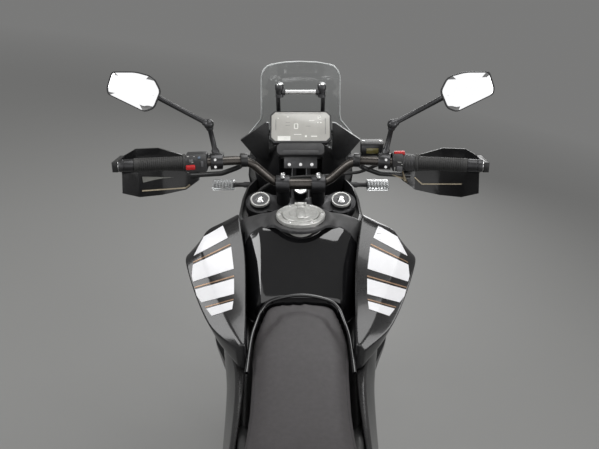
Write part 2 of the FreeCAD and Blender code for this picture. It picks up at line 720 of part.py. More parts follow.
# Drive chain, one closed loop round both sprockets
drive_centre = Vector(sprocket["x"], 600, 428)


def drive_chain():
    big = pitch_radius(sprocket["teeth"])
    small = pitch_radius(sprocket["drive_teeth"])
    wheel_centre = Vector(sprocket["x"], rear_axle.y, rear_axle.z)
    span = drive_centre - wheel_centre

    def loop(offset):
        outer = big + offset
        inner = small + offset
        slope = math.asin((outer - inner) / span.Length)
        base = math.atan2(span.z, span.y)
        points = []
        for side in (1, -1):
            angle = base + side * (math.pi / 2 - slope)
            points.append((wheel_centre + direction(angle) * outer, drive_centre + direction(angle) * inner))
        (top_back, top_front), (low_back, low_front) = points
        return Part.Wire([
            Part.LineSegment(top_back, top_front).toShape(),
            Part.Arc(top_front, drive_centre + direction(base) * inner, low_front).toShape(),
            Part.LineSegment(low_front, low_back).toShape(),
            Part.Arc(low_back, wheel_centre + direction(base + math.pi) * outer, top_back).toShape(),
        ])

    def direction(angle):
        return Vector(0, math.cos(angle), math.sin(angle))

    half = chain_height / 2
    outer_face = Part.Face(loop(half))
    inner_face = Part.Face(loop(-half))
    width = X_AXIS * chain_width
    band = outer_face.extrude(width).cut(inner_face.extrude(width))
    band.translate(X_AXIS * (-chain_width / 2))
    cog = rod(drive_centre - X_AXIS * 4, drive_centre + X_AXIS * 16, small - half - 0.5)
    return Part.makeCompound([band, cog])


def rear_caliper():
    disc = rear_disc
    angle = 38.0
    centre = rear_axle + polar(disc["x"], disc["radius"] - 10, angle)
    block = Part.makeBox(36, 74, 46, Vector(disc["x"] - 14, centre.y - 37, centre.z - 23))
    block = turned(block, centre, X_AXIS, -angle)
    slot_half = disc["thickness"] / 2 + moving_gap
    slot = ring_of(rear_axle, [(disc["x"] - slot_half, 40), (disc["x"] + slot_half, 40),
                               (disc["x"] + slot_half, disc["radius"] + moving_gap),
                               (disc["x"] - slot_half, disc["radius"] + moving_gap)])
    foot = side_plate([(centre.y - 16, centre.z - 46), (centre.y + 26, centre.z - 60), (centre.y + 30, centre.z),
                       (centre.y - 20, centre.z + 6)], (disc["x"] + slot_half + 4, arm_inner))
    return joined([block.cut(slot), foot])


# Engine: crankcase, tilted cylinders and head, round side covers
crank_span = (-84.0, 104.0)


def engine():
    case = side_plate([(588, 300), (870, 300), (912, 340), (918, 420), (880, 500), (760, 520), (640, 500), (588, 460)],
                      (-58, 84))
    gearbox = side_plate([(655, 300), (870, 300), (912, 340), (918, 420), (880, 500), (700, 510), (655, 460)], crank_span)
    barrels = side_plate([(738, 480), (905, 470), (922, 640), (755, 660)], (-92, 92))
    fins = [side_plate([(734, 520 + 22 * n), (911, 510 + 22 * n), (912, 516 + 22 * n), (735, 526 + 22 * n)], (-96, 96))
            for n in range(5)]
    head_block = side_plate([(750, 640), (928, 620), (936, 706), (900, 742), (790, 752), (758, 730)], (-80, 80))
    left_cover = rod(Vector(crank_span[0], 800, 392), Vector(-142, 800, 392), 74.0)
    left_rim = rod(Vector(crank_span[0], 800, 392), Vector(-118, 800, 392), 84.0)
    drive_cover = side_plate([(655, 350), (700, 340), (700, 480), (655, 480)], (-110, crank_span[0]))
    right_cover = rod(Vector(crank_span[1], 748, 398), Vector(150, 748, 398), 84.0)
    right_rim = rod(Vector(crank_span[1], 748, 398), Vector(132, 748, 398), 96.0)
    pump = rod(Vector(crank_span[1], 862, 372), Vector(140, 862, 372), 30.0)
    output = rod(Vector(-58, drive_centre.y, drive_centre.z), drive_centre + X_AXIS * 16, 14.0)
    front_lug = side_plate([(900, 380), (962, 380), (962, 410), (900, 410)], (-95, 95))
    inlet = side_plate([(700, 660), (760, 650), (760, 712), (700, 712)], (-62, 62))
    return joined([case, gearbox, barrels, head_block, left_cover, left_rim, drive_cover, right_cover, right_rim,
                   pump, output, front_lug, inlet] + fins)


radiator_middle = Vector(0, 1068, 648)
radiator_size = (290.0, 32.0, 220.0)
radiator_tilt = -26.0


def radiator():
    width, depth, height = radiator_size
    low = radiator_middle - Vector(width / 2, depth / 2, height / 2)
    core = Part.makeBox(width, depth, height, low)
    tanks = [Part.makeBox(26, depth + 12, height - 10, Vector(side * (width / 2 - 6) - 13, low.y - 6, low.z + 5))
             for side in (-1, 1)]
    core = turned(joined([core] + tanks), radiator_middle, X_AXIS, radiator_tilt)
    hangers = both_sides(rod(Vector(down_tube_x, 1010, 630), Vector(down_tube_x, 1062, 642), 8.0))
    return joined([core, hangers])


def skid_plate():
    profile = [(600, 226), (900, 226), (985, 300), (1000, 380), (994, 382), (978, 303), (897, 231), (600, 231)]
    belly = side_plate(profile, (-112, 112))
    wing = loft([[Vector(112, 600, 226), Vector(112, 900, 226), Vector(112, 985, 300), Vector(112, 1000, 380),
                  Vector(112, 960, 340), Vector(112, 860, 250), Vector(112, 600, 248)],
                 [Vector(134, 620, 262), Vector(134, 880, 262), Vector(134, 950, 320), Vector(134, 960, 380),
                  Vector(134, 940, 360), Vector(134, 850, 290), Vector(134, 620, 290)]])
    return joined([belly, both_sides(wing)])


pipe_radius = 18.0


def exhaust_header():
    pipes = []
    for x, low_x in ((-38, 10), (38, 52)):
        pipes.append(tube([Vector(x, 930, 664), Vector(x, 985, 640), Vector(x, 992, 420), Vector(low_x, 968, 290),
                           Vector(low_x, 880, 262), Vector(low_x, 700, 262)], pipe_radius, 60.0))
    main = tube([Vector(31, 760, 262), Vector(60, 600, 262), Vector(150, 470, 262), Vector(176, 380, 350),
                 Vector(190, 330, 470), Vector(194, 270, 530)], 22.0, 70.0)
    merge = rod(Vector(31, 790, 262), Vector(31, 690, 262), 40.0)
    return joined(pipes + [main, merge.common(box((-60, 120), (600, 800), (238, 286)))])


muffler_front = Vector(196, 300, 512)
muffler_rear = Vector(206, -96, 640)


def muffler():
    axis = (muffler_rear - muffler_front).normalize()
    across = X_AXIS
    up = axis.cross(across).normalize()
    if up.z < 0:
        up = up * -1
    sections = []
    for share, wide, tall in ((0.0, 26, 26), (0.16, 46, 58), (0.9, 50, 66), (1.0, 40, 56)):
        centre = along(muffler_front, muffler_rear, share)
        ring = []
        for index in range(12):
            angle = math.radians(30 * index + 15)
            ring.append(centre + across * wide * math.cos(angle) + up * tall * math.sin(angle))
        sections.append(ring)
    can = loft(sections)
    outlet = rod(muffler_rear - axis * 40, muffler_rear + axis * 18, 21.0)
    hole = rod(muffler_rear - axis * 30, muffler_rear + axis * 19, 17.0)
    return joined([can, outlet]).cut(hole)


# Subframe
rail_radius = 12.0
rail_x = 96.0


def subframe():
    rail = tube([Vector(126, 640, 700), Vector(rail_x + 14, 500, 790), Vector(rail_x, 300, 800), Vector(rail_x, -110, 866)],
                rail_radius, 90.0)
    stay = tube([Vector(124, 505, 500), Vector(124, 440, 560), Vector(rail_x, 60, 836)], 10.0, 60.0)
    link = rod(Vector(-rail_x, -70, 860), Vector(rail_x, -70, 860), 10.0)
    middle = rod(Vector(-rail_x, 250, 808), Vector(rail_x, 250, 808), 10.0)
    return joined([both_sides(rail), both_sides(stay), link, middle])


# Seats. Rows are y, half width at the foot, half width at the top edge, half width of the flat,
# z of the foot, of the top edge and of the crown
rider_rows = ((812.0, 60.0, 84.0, 50.0, 884.0, 912.0, 926.0), (744.0, 96.0, 114.0, 70.0, 838.0, 868.0, 886.0),
              (660.0, 104.0, 112.0, 74.0, 800.0, 836.0, 856.0), (540.0, 106.0, 110.0, 74.0, 784.0, 818.0, 838.0),
              (430.0, 112.0, 118.0, 82.0, 782.0, 818.0, 838.0), (350.0, 124.0, 138.0, 96.0, 790.0, 836.0, 858.0))
pillion_rows = ((349.0, 124.0, 136.0, 98.0, 812.0, 860.0, 884.0), (200.0, 120.0, 134.0, 98.0, 834.0, 884.0, 906.0),
                (40.0, 98.0, 112.0, 84.0, 856.0, 902.0, 922.0), (-30.0, 70.0, 82.0, 60.0, 872.0, 906.0, 918.0))


def cushion(rows):
    stations = []
    for y, foot, edge, flat, foot_z, edge_z, crown_z in rows:
        half = [(foot, foot_z), (edge, edge_z), (flat, crown_z)]
        stations.append((y, half + [(-x, z) for x, z in reversed(half)]))
    return body_loft(stations)


# Tank. Rows are y, then the outline's half: foot, waist, channel floor, crown edge and crown middle
tank_rows = (
    (822.0, ((70.0, 850.0), (118.0, 862.0), (104.0, 905.0), (88.0, 918.0), (0.0, 934.0))),
    (880.0, ((90.0, 812.0), (138.0, 850.0), (122.0, 962.0), (94.0, 990.0), (0.0, 1002.0))),
    (930.0, ((96.0, 812.0), (146.0, 860.0), (132.0, 1016.0), (96.0, 1044.0), (0.0, 1052.0))),
    (985.0, ((96.0, 820.0), (148.0, 880.0), (146.0, 1052.0), (100.0, 1064.0), (0.0, 1070.0))),
    (1018.0, ((56.0, 880.0), (66.0, 930.0), (76.0, 1036.0), (68.0, 1056.0), (0.0, 1064.0))),
)
cap_centre = Vector(0, 958, 1078)
cap_tilt = 4.0
cap_radius = 58.0
lid_radius = 44.0
cap_bolt_circle = 102.0
cap_bolt_radius = 2.6
cap_bolts = 6
cap_bolt_depth = 18.0
lid_gap = 0.5
lid_swing = 100.0


def cap_bolt_holes(depth, height):
    # six holes round the filler, from a depth below the ring's middle height to a height above it
    holes = []
    for index in range(cap_bolts):
        turn = math.radians(360.0 / cap_bolts * index)
        foot = cap_centre + Vector(math.cos(turn), math.sin(turn), 0) * cap_bolt_circle / 2
        holes.append(rod(foot - Z_AXIS * depth, foot + Z_AXIS * height, cap_bolt_radius))
    return Part.makeCompound(holes)


def tank():
    stations = []
    for y, half in tank_rows:
        outline = list(half[:-1]) + [half[-1]] + [(-x, z) for x, z in reversed(half[:-1])]
        stations.append((y, outline))
    body = body_loft(stations)
    neck = rod(cap_centre - Z_AXIS * 60, cap_centre - Z_AXIS * 4, cap_radius + 8)
    neck = neck.common(box((-80, 80), (880, 1040), (1000, 1074)))
    well = rod(cap_centre - Z_AXIS * 60, cap_centre + Z_AXIS * 20, lid_radius - 10)
    lid_well = rod(cap_centre - Z_AXIS * 10, cap_centre + Z_AXIS * 20, lid_radius + 1)
    bored = joined([body, neck]).cut(turned(joined([well, lid_well]), cap_centre, X_AXIS, cap_tilt))
    return bored.cut(turned(cap_bolt_holes(cap_bolt_depth, 12.0), cap_centre, X_AXIS, cap_tilt))


def tilted(point):
    return cap_centre + FreeCAD.Rotation(X_AXIS, cap_tilt).multVec(point - cap_centre)


def filler_ring():
    low = cap_centre - Z_AXIS * 8
    ring = rod(low, cap_centre + Z_AXIS * 1, cap_radius).cut(rod(low, cap_centre + Z_AXIS * 2, lid_radius + lid_gap))
    ledge = rod(low, low + Z_AXIS * 2, lid_radius + 1).cut(rod(low, low + Z_AXIS * 2, lid_radius - 8))
    ears = [box((side * 12 - 3, side * 12 + 3), (cap_centre.y + lid_radius + 1, cap_centre.y + cap_radius - 2),
                (cap_centre.z, cap_centre.z + 7)) for side in (-1, 1)]
    whole = joined([ring, ledge] + ears).cut(cap_bolt_holes(9.0, 12.0))
    return turned(whole, cap_centre, X_AXIS, cap_tilt)


lid_hinge_reach = 6.0
lid_hinge_rise = 4.2
lid_pin_radius = 2.2
lid_pin_half = 8.7
lid_hinge = cap_centre + Y_AXIS * (lid_radius + lid_hinge_reach) + Z_AXIS * lid_hinge_rise


def filler_lid():
    top = cap_centre + Z_AXIS * 3
    disc = rod(cap_centre - Z_AXIS * 5.5, top, lid_radius)
    flap = box((-10, 10), (cap_centre.y - 30, cap_centre.y + 22), (top.z - 1, top.z + 3))
    tongue = box((-lid_pin_half, lid_pin_half), (cap_centre.y + 30, lid_hinge.y), (top.z - 2, top.z + 2.2))
    pin = rod(lid_hinge - X_AXIS * lid_pin_half, lid_hinge + X_AXIS * lid_pin_half, lid_pin_radius)
    return turned(joined([disc, flap, tongue, pin]), cap_centre, X_AXIS, cap_tilt)


# Side shroud over the tank's flank. Rows are y, then outline points (x, z) from inner foot round the
# outside to inner top
shroud_rows = (
    (690.0, ((116.0, 822.0), (134.0, 828.0), (138.0, 872.0), (128.0, 888.0), (118.0, 888.0))),
    (760.0, ((120.0, 828.0), (184.0, 850.0), (206.0, 900.0), (168.0, 922.0), (120.0, 922.0))),
    (871.0, ((150.0, 840.0), (236.0, 890.0), (265.0, 992.0), (226.0, 1016.0), (126.0, 1000.0))),
    (940.0, ((150.0, 850.0), (232.0, 880.0), (262.0, 985.0), (224.0, 1040.0), (140.0, 1052.0))),
    (985.0, ((152.0, 860.0), (226.0, 876.0), (250.0, 970.0), (206.0, 1036.0), (149.0, 1068.0))),
    (1090.0, ((166.0, 850.0), (206.0, 850.0), (224.0, 920.0), (196.0, 985.0), (160.0, 990.0))),
    (1180.0, ((172.0, 830.0), (190.0, 830.0), (204.0, 880.0), (188.0, 925.0), (168.0, 925.0))),
)
cowl_rows = (
    (880.0, ((150.0, 690.0), (178.0, 690.0), (206.0, 770.0), (218.0, 905.0), (152.0, 880.0))),
    (960.0, ((152.0, 600.0), (188.0, 604.0), (216.0, 720.0), (230.0, 905.0), (152.0, 880.0))),
    (1060.0, ((158.0, 590.0), (190.0, 594.0), (212.0, 720.0), (212.0, 880.0), (160.0, 880.0))),
    (1160.0, ((166.0, 680.0), (182.0, 684.0), (194.0, 760.0), (194.0, 860.0), (168.0, 860.0))),
)
side_panel_rows = (
    (330.0, ((126.0, 690.0), (138.0, 690.0), (146.0, 770.0), (140.0, 806.0), (128.0, 806.0))),
    (520.0, ((140.0, 650.0), (152.0, 650.0), (156.0, 740.0), (134.0, 800.0), (122.0, 800.0))),
    (700.0, ((142.0, 680.0), (156.0, 680.0), (164.0, 760.0), (142.0, 826.0), (120.0, 820.0))),
    (800.0, ((142.0, 700.0), (160.0, 700.0), (176.0, 770.0), (180.0, 846.0), (130.0, 838.0))),
)


# Nose
def nose_fairing():
    rows = (
        (1262.0, ((60.0, 1010.0), (112.0, 1014.0), (124.0, 1066.0), (130.0, 1100.0), (122.0, 1128.0), (60.0, 1160.0))),
        (1330.0, ((56.0, 985.0), (128.0, 985.0), (148.0, 1050.0), (140.0, 1130.0), (90.0, 1176.0), (50.0, 1160.0))),
    )
    cheek = body_loft(rows)
    hood_rows = (
        (1328.0, ((-140.0, 1118.0), (140.0, 1118.0), (120.0, 1160.0), (60.0, 1180.0), (-60.0, 1180.0), (-120.0, 1160.0))),
        (1400.0, ((-84.0, 1094.0), (84.0, 1094.0), (70.0, 1116.0), (40.0, 1128.0), (-40.0, 1128.0), (-70.0, 1116.0))),
    )
    beak_rows = (
        (1328.0, ((-120.0, 930.0), (120.0, 930.0), (128.0, 985.0), (60.0, 1000.0), (-60.0, 1000.0), (-128.0, 985.0))),
        (1440.0, ((-60.0, 925.0), (60.0, 925.0), (66.0, 945.0), (40.0, 956.0), (-40.0, 956.0), (-66.0, 945.0))),
    )
    side_rows = (
        (1328.0, ((118.0, 960.0), (140.0, 980.0), (150.0, 1050.0), (142.0, 1130.0), (110.0, 1125.0), (112.0, 1040.0))),
        (1395.0, ((72.0, 940.0), (92.0, 960.0), (100.0, 1040.0), (88.0, 1104.0), (70.0, 1100.0), (76.0, 1030.0))),
    )
    # wings beside the dash, and inner panels from the nose back to the shrouds, outside the fork legs
    wing = front_plate([(86.0, 1122.0), (122.0, 1124.0), (163.0, 1175.0), (94.0, 1222.0), (86.0, 1222.0)], (1252.0, 1265.0))
    inner_rows = (
        (994.0, ((138.0, 920.0), (146.0, 920.0), (146.0, 1046.0), (138.0, 1050.0))),
        (1040.0, ((145.0, 930.0), (152.0, 930.0), (152.0, 1030.0), (145.0, 1034.0))),
        (1090.0, ((152.0, 935.0), (159.0, 935.0), (159.0, 1022.0), (152.0, 1026.0))),
        (1160.0, ((153.0, 945.0), (160.0, 945.0), (155.0, 1040.0), (148.0, 1044.0))),
        (1200.0, ((147.0, 950.0), (154.0, 950.0), (146.0, 1056.0), (139.0, 1060.0))),
        (1264.0, ((122.0, 955.0), (129.0, 955.0), (129.0, 1056.0), (122.0, 1060.0))),
        (1300.0, ((118.0, 960.0), (126.0, 960.0), (126.0, 1050.0), (118.0, 1054.0))),
    )
    flanks = joined([cheek, wing, body_loft(inner_rows), body_loft(side_rows)])
    bulkhead = box((-112, 112), (1322, 1330), (990, 1125))
    return joined([both_sides(flanks), body_loft(hood_rows), body_loft(beak_rows), bulkhead])


def headlamp():
    rows = (
        (1334.0, ((-104.0, 1006.0), (104.0, 1006.0), (112.0, 1060.0), (90.0, 1110.0), (-90.0, 1110.0), (-112.0, 1060.0))),
        (1386.0, ((-66.0, 962.0), (66.0, 962.0), (78.0, 1030.0), (64.0, 1090.0), (-64.0, 1090.0), (-78.0, 1030.0))),
        (1404.0, ((-50.0, 972.0), (50.0, 972.0), (60.0, 1030.0), (48.0, 1078.0), (-48.0, 1078.0), (-60.0, 1030.0))),
    )
    return body_loft(rows)


# Windscreen: each row is z, then y and x of its middle, corner and edge
screen_rows = ((1158.0, 1352.0, 84.0, 1342.0, 162.0, 1296.0), (1228.0, 1330.0, 68.0, 1320.0, 108.0, 1284.0),
               (1384.0, 1272.0, 60.0, 1264.0, 104.0, 1236.0))
screen_wall = 4.0


def windscreen():
    sections = []
    for z, middle_y, bend_x, bend_y, edge_x, edge_y in screen_rows:
        outer = [(-edge_x, edge_y), (-bend_x, bend_y), (0.0, middle_y), (bend_x, bend_y), (edge_x, edge_y)]
        inner = [(x * 0.985, y - screen_wall) for x, y in reversed(outer)]
        sections.append([Vector(x, y, z) for x, y in outer + inner])
    return loft(sections)


display_centre = Vector(0, 1236, 1216)
display_size = (164.0, 18.0, 90.0)
display_tilt = 34.0


def dash():
    wide, deep, high = display_size
    low = display_centre - Vector(wide / 2, 0, high / 2)
    case = Part.makeBox(wide, deep, high, low)
    case = case.makeFillet(10, [edge for edge in case.Edges if abs(edge.tangentAt(edge.FirstParameter).y) > 0.9])
    foot = Part.makeBox(128, 26, 34, display_centre - Vector(64, 4, high / 2 + 33))
    return turned(joined([case, foot]), display_centre, X_AXIS, -display_tilt)


# Stay that carries dash, lamp and screen off the head tube, passing between the fork legs
stay_x = 20.0


def fairing_stay():
    root = steer_point(stay_x, 30, 700)
    arm = tube([root, steer_point(stay_x, 150, 740), Vector(stay_x, 1300, 1110), Vector(stay_x, 1296, 1180)], 8.0, 40.0)
    low_arm = rod(steer_point(stay_x, 150, 740), Vector(stay_x, 1338, 1040), 8.0)
    bar = rod(Vector(-150, 1300, 1110), Vector(150, 1300, 1110), 8.0)
    shelf = box((-70, 70), (1262, 1306), (1166, 1176))
    dash_bracket = side_plate([(1196, 1114), (1204, 1111), (1216, 1136), (1238, 1164), (1270, 1166), (1270, 1174),
                               (1232, 1172), (1208, 1142)], (-44, 44))
    root_plate = rod(steer_point(-30, 30, 700), steer_point(30, 30, 700), 11.0)
    post = rod(Vector(34, 1276, 1170), Vector(34, 1244, 1204), 8.0)
    return joined([both_sides(arm), both_sides(low_arm), both_sides(post), bar, shelf, dash_bracket, root_plate])


crossbar_middle = Vector(0, 1262, 1304)
crossbar_radius = 6.0


def screen_bracket():
    reach = X_AXIS * 66
    bar = rod(crossbar_middle - reach, crossbar_middle + reach, crossbar_radius)
    knobs = [rod(Vector(side * 56, 1262, 1300), Vector(side * 56, 1262, 1330), 12.0) for side in (-1, 1)]
    uprights = [tube([Vector(side * 60, 1298, 1176), Vector(side * 60, 1292, 1240), Vector(side * 60, 1262, 1304)], 6.5, 30.0)
                for side in (-1, 1)]
    pads = [rod(Vector(side * 60, 1262, 1304), Vector(side * 60, 1300, 1312), 7.0) for side in (-1, 1)]
    return joined([bar] + knobs + uprights + pads)


# Tail: half widths of the mudguard's tray and of its tail
tray_half = 82.0
tail_half = 34.0


def indicators():
    pieces = []
    for root_x, x, y, z in ((124, 150, 1300, 1030), (tail_half - 1, tail_half - 1, -229, 780)):
        stalk = rod(Vector(root_x, y, z), Vector(x + 44, y, z), 7.0)
        lamp = Part.makeBox(66, 34, 26, Vector(x + 36, y - 17, z - 13))
        one = joined([stalk, lamp])
        pieces += [one, mirrored(one)]
    return Part.makeCompound(pieces)


# Rear rack: a deck with a square of four holes, and grab handles at its sides
rack_hole_radius = 3.3
rack_top = 932.0
rack_square = 148.0
rack_middle_y = -94.0


def rear_rack():
    deck = side_plate([(-214, rack_top - 10), (20, rack_top - 10), (20, rack_top), (-214, rack_top)], (-92, 92))
    slots = [box((x - 14, x + 14), (-170, -40), (880, 960)) for x in (-42, 0, 42)]
    handle = tube([Vector(118, 190, 838), Vector(160, 150, 884), Vector(160, -60, 912), Vector(110, -190, 914),
                   Vector(70, -196, 914)], 11.0, 50.0)
    post = rod(Vector(rail_x, -60, 850), Vector(rail_x, -60, 920), 9.0)
    foot = rod(Vector(92, 186, 842), Vector(124, 190, 838), 10.0)
    whole = joined([deck, both_sides(handle), both_sides(post), both_sides(foot)])
    holes = []
    for x in (-rack_square / 2, rack_square / 2):
        for y in (-rack_square / 2, rack_square / 2):
            foot = Vector(x, rack_middle_y + y, rack_top - 20)
            holes.append(rod(foot, foot + Z_AXIS * 40, rack_hole_radius))
    return whole.cut(Part.makeCompound(slots + holes))


def rear_mudguard():
    tray = side_plate([(300, 768), (-60, 800), (-200, 838), (-214, 832), (-70, 790), (300, 758)],
                      (-tray_half, tray_half))
    wall = side_plate([(-190, 830), (-190, 848), (-105, 872), (60, 846), (60, 786), (-60, 796)],
                      (tray_half - panel_wall, rail_x - 6))
    tail = side_plate([(-120, 806), (-205, 844), (-232, 836), (-340, 610), (-352, 560), (-344, 556), (-322, 600),
                       (-196, 800), (-130, 796)], (-tail_half, tail_half))
    holder = side_plate([(-338, 640), (-352, 560), (-346, 556), (-331, 636)], (-80, 80))
    return joined([tray, both_sides(wall), tail, holder])


def tail_lamp():
    return side_plate([(-206, 838), (-206, 896), (-230, 890), (-238, 842)], (-56, 56))


def foot_rests():
    plate_x = pivot_plate_inner + pivot_plate_wall
    pieces = []
    hanger = side_plate([(486, 316), (520, 316), (520, 372), (486, 372)], (plate_x, plate_x + 16))
    peg = box((plate_x + 14, plate_x + 92), (478, 528), (332, 352))
    rider = joined([hanger, peg])
    bracket = tube([Vector(122, 330, 646), Vector(150, 250, 560), Vector(156, 214, 500)], 10.0, 40.0)
    pillion = joined([bracket, rod(Vector(150, 214, 500), Vector(226, 214, 500), 13.0)])
    for piece in (rider, mirrored(rider), mirrored(pillion)):
        pieces.append(piece)
    return Part.makeCompound(pieces)


def foot_levers():
    gear = joined([tube([Vector(-100, 678, 362), Vector(-150, 678, 362), Vector(-156, 770, 330)], 6.5, 20.0),
                   rod(Vector(-150, 768, 331), Vector(-196, 768, 331), 9.0)])
    brake = joined([tube([Vector(131, 566, 326), Vector(160, 590, 320), Vector(166, 730, 318)], 6.5, 20.0),
                    box((160, 200), (716, 752), (310, 324))])
    return Part.makeCompound([gear, brake])


hose_radius = 4.0


def hoses():
    # front brake hose from the reservoir, ahead of the clamps and down the left leg to the caliper
    start = bar_place(perch_span[0] + 6) + Vector(0, 24, -14)
    places = ((150, 56, 880), (80, 72, 852), (0, 80, 838), (-60, 84, 826), (-112, 70, 796), (-138, 40, 730),
              (-141, 34, 500), (-139, 24, 330), (-138, 6, 190), (-104, -22, 130), (-88, -40, 80))
    return tube([start] + [steer_point(*place) for place in places], hose_radius, 60.0)


def leaned(shape):
    copy = shape.copy()
    copy.rotate(ORIGIN, Y_AXIS, -lean)
    return copy


def overlaps(first, second):
    return first.BoundBox.intersect(second.BoundBox)


def seated(shape, carriers):
    # a piece is cut to the faces of what it is fixed to
    for carrier in carriers:
        if overlaps(shape, carrier):
            shape = shape.cut(carrier)
    return shape


def without_slivers(shape):
    solids = sorted(shape.Solids, key=lambda solid: -solid.Volume)
    kept = [solid for solid in solids if solid.Volume > solids[0].Volume * 0.02]
    return kept[0] if len(kept) == 1 else Part.makeCompound(kept)


def chassis_nodes():
    # earlier pieces keep their whole shape, later ones are cut to them
    pieces = [
        ("rear_axle", rear_axle_pin()),
        ("main_frame", main_frame()),
        ("swingarm", swingarm()),
        ("drive_chain", drive_chain()),
        ("engine", engine()),
        ("exhaust_header", exhaust_header()),
        ("muffler", muffler()),
        ("subframe", subframe()),
        ("rear_shock", rear_shock()),
        ("rear_caliper", rear_caliper()),
        ("radiator", radiator()),
        ("skid_plate", skid_plate()),
        ("foot_rests", foot_rests()),
        ("foot_levers", foot_levers()),
        ("fairing_stay", fairing_stay()),
        ("dash", dash()),
        ("screen_bracket", screen_bracket()),
        ("windscreen", windscreen()),
        ("headlamp", headlamp()),
        ("nose_fairing", nose_fairing()),
        ("indicators", indicators()),
        ("filler_ring", filler_ring()),
        ("fuel_tank", tank()),
        ("right_shroud", body_loft(shroud_rows)),
        ("left_shroud", mirrored(body_loft(shroud_rows))),
        ("right_cowl", body_loft(cowl_rows)),
        ("left_cowl", mirrored(body_loft(cowl_rows))),
        ("right_side_panel", body_loft(side_panel_rows)),
        ("left_side_panel", mirrored(body_loft(side_panel_rows))),
        ("rider_seat", cushion(rider_rows)),
        ("pillion_seat", cushion(pillion_rows)),
        ("tail_lamp", tail_lamp()),
        ("rear_mudguard", rear_mudguard()),
        ("rear_rack", rear_rack()),
    ]
    return seat_in_order(pieces)


def steering_nodes():
    pieces = [
        ("front_axle", front_axle_pin()),
        ("fork_legs", fork_legs()),
        ("handlebar", handlebar()),
        ("triple_clamps", triple_clamps()),
        ("grips", grips()),
        ("switch_housings", switch_housings()),
        ("hand_levers", hand_levers()),
        ("mirrors", mirrors()),
        ("hand_guards", hand_guards()),
        ("front_mudguard", front_mudguard()),
        ("front_caliper", front_caliper()),
        ("hoses", hoses()),
    ]
    return seat_in_order(pieces)


def seat_in_order(pieces):
    nodes = {}
    for name, shape in pieces:
        nodes[name] = without_slivers(seated(shape, list(nodes.values())))
    return nodes


def all_nodes():
    nodes = chassis_nodes()
    nodes["filler_lid"] = filler_lid()
    nodes.update(steering_nodes())
    nodes.update(front_wheel_nodes())
    nodes.update(rear_wheel_nodes())
    nodes["side_stand"] = side_stand()
    return {name: leaned(shape) for name, shape in nodes.items()}


def whole_box(nodes):
    total = FreeCAD.BoundBox()
    for shape in nodes.values():
        total.add(shape.optimalBoundingBox(False, False))
    return total


nodes = all_nodes()
outer = whole_box(nodes)
middle = Vector((outer.XMin + outer.XMax) / 2, (outer.YMin + outer.YMax) / 2, outer.ZMin)


def placed(point):
    # an upright place in the finished part's frame
    turn = FreeCAD.Rotation(Y_AXIS, -lean)
    return turn.multVec(point) - middle


def pointed(direction):
    return FreeCAD.Rotation(Y_AXIS, -lean).multVec(direction)


os.makedirs("parts", exist_ok=True)
for name, shape in nodes.items():
    shape.translate(middle * -1)
    shape.exportStep("parts/" + name + ".step")

print("box", outer.XLength, outer.YLength, outer.ZLength, "middle", middle)
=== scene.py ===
import json
import math

import bmesh
import bpy
from mathutils import Matrix, Vector
from mathutils.bvhtree import BVHTree


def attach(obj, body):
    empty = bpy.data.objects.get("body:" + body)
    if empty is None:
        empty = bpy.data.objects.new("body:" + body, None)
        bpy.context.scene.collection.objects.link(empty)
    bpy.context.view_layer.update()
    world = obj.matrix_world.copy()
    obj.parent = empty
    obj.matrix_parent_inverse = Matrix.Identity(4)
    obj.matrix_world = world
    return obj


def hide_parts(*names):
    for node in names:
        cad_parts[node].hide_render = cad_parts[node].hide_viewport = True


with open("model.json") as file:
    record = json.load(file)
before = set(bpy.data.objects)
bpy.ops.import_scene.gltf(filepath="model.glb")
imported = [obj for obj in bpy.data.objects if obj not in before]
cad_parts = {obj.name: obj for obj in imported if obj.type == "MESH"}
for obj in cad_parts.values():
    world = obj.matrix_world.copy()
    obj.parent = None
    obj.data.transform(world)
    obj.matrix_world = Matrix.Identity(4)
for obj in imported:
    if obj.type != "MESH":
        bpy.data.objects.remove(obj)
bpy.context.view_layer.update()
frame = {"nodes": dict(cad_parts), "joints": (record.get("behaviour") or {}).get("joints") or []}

# The machine leans on its side stand. Its own upright measures, in millimetres with X to the rider's
# right, Y ahead of the rear axle and Z up from the tyres, are turned and moved by the matrix "machine".
joints = {joint["name"]: joint for joint in frame["joints"]}
rear_axle_height = 328.64
across = Vector(joints["rear_wheel_turn"]["axis"]).normalized()
ahead = Vector((0, 1, 0))
upward = across.cross(ahead)
lean_turn = Matrix((across, ahead, upward)).transposed().to_4x4()
tyre_line = Vector(joints["rear_wheel_turn"]["pos_m"]) - upward * rear_axle_height / 1000
machine = Matrix.Translation(tyre_line) @ lean_turn @ Matrix.Scale(0.001, 4)
upright = machine.inverted()

# Camera, as the photographer stood: behind the seat, over the machine, looking ahead and down.
# Its place is in the machine's own measures, and its lens is for a frame 599 pixels wide.
camera_place = Vector((0, -552, 1689))
camera_pitch = math.radians(22.9)
focal_pixels = 687.0
frame_pixels = (599, 449)
sensor_width = 36.0
picture_centre_x = 300.6


def placed(name, data):
    # a new object in the scene
    made = bpy.data.objects.new(name, data)
    bpy.context.scene.collection.objects.link(made)
    return made


camera = placed("camera", bpy.data.cameras.new("camera"))
camera.data.sensor_width = sensor_width
camera.data.lens = focal_pixels / frame_pixels[0] * sensor_width
camera.data.shift_x = (frame_pixels[0] / 2 - picture_centre_x) / frame_pixels[0]
camera.data.clip_start = 0.05
look_down = Matrix.Rotation(math.pi / 2 - camera_pitch, 4, "X")
camera.matrix_world = Matrix.Translation(machine @ camera_place) @ lean_turn @ look_down
bpy.context.scene.camera = camera

# Floor of plain grey stone: a wide disc that fades into the backdrop well away from the machine, so
# that no edge of it shows.

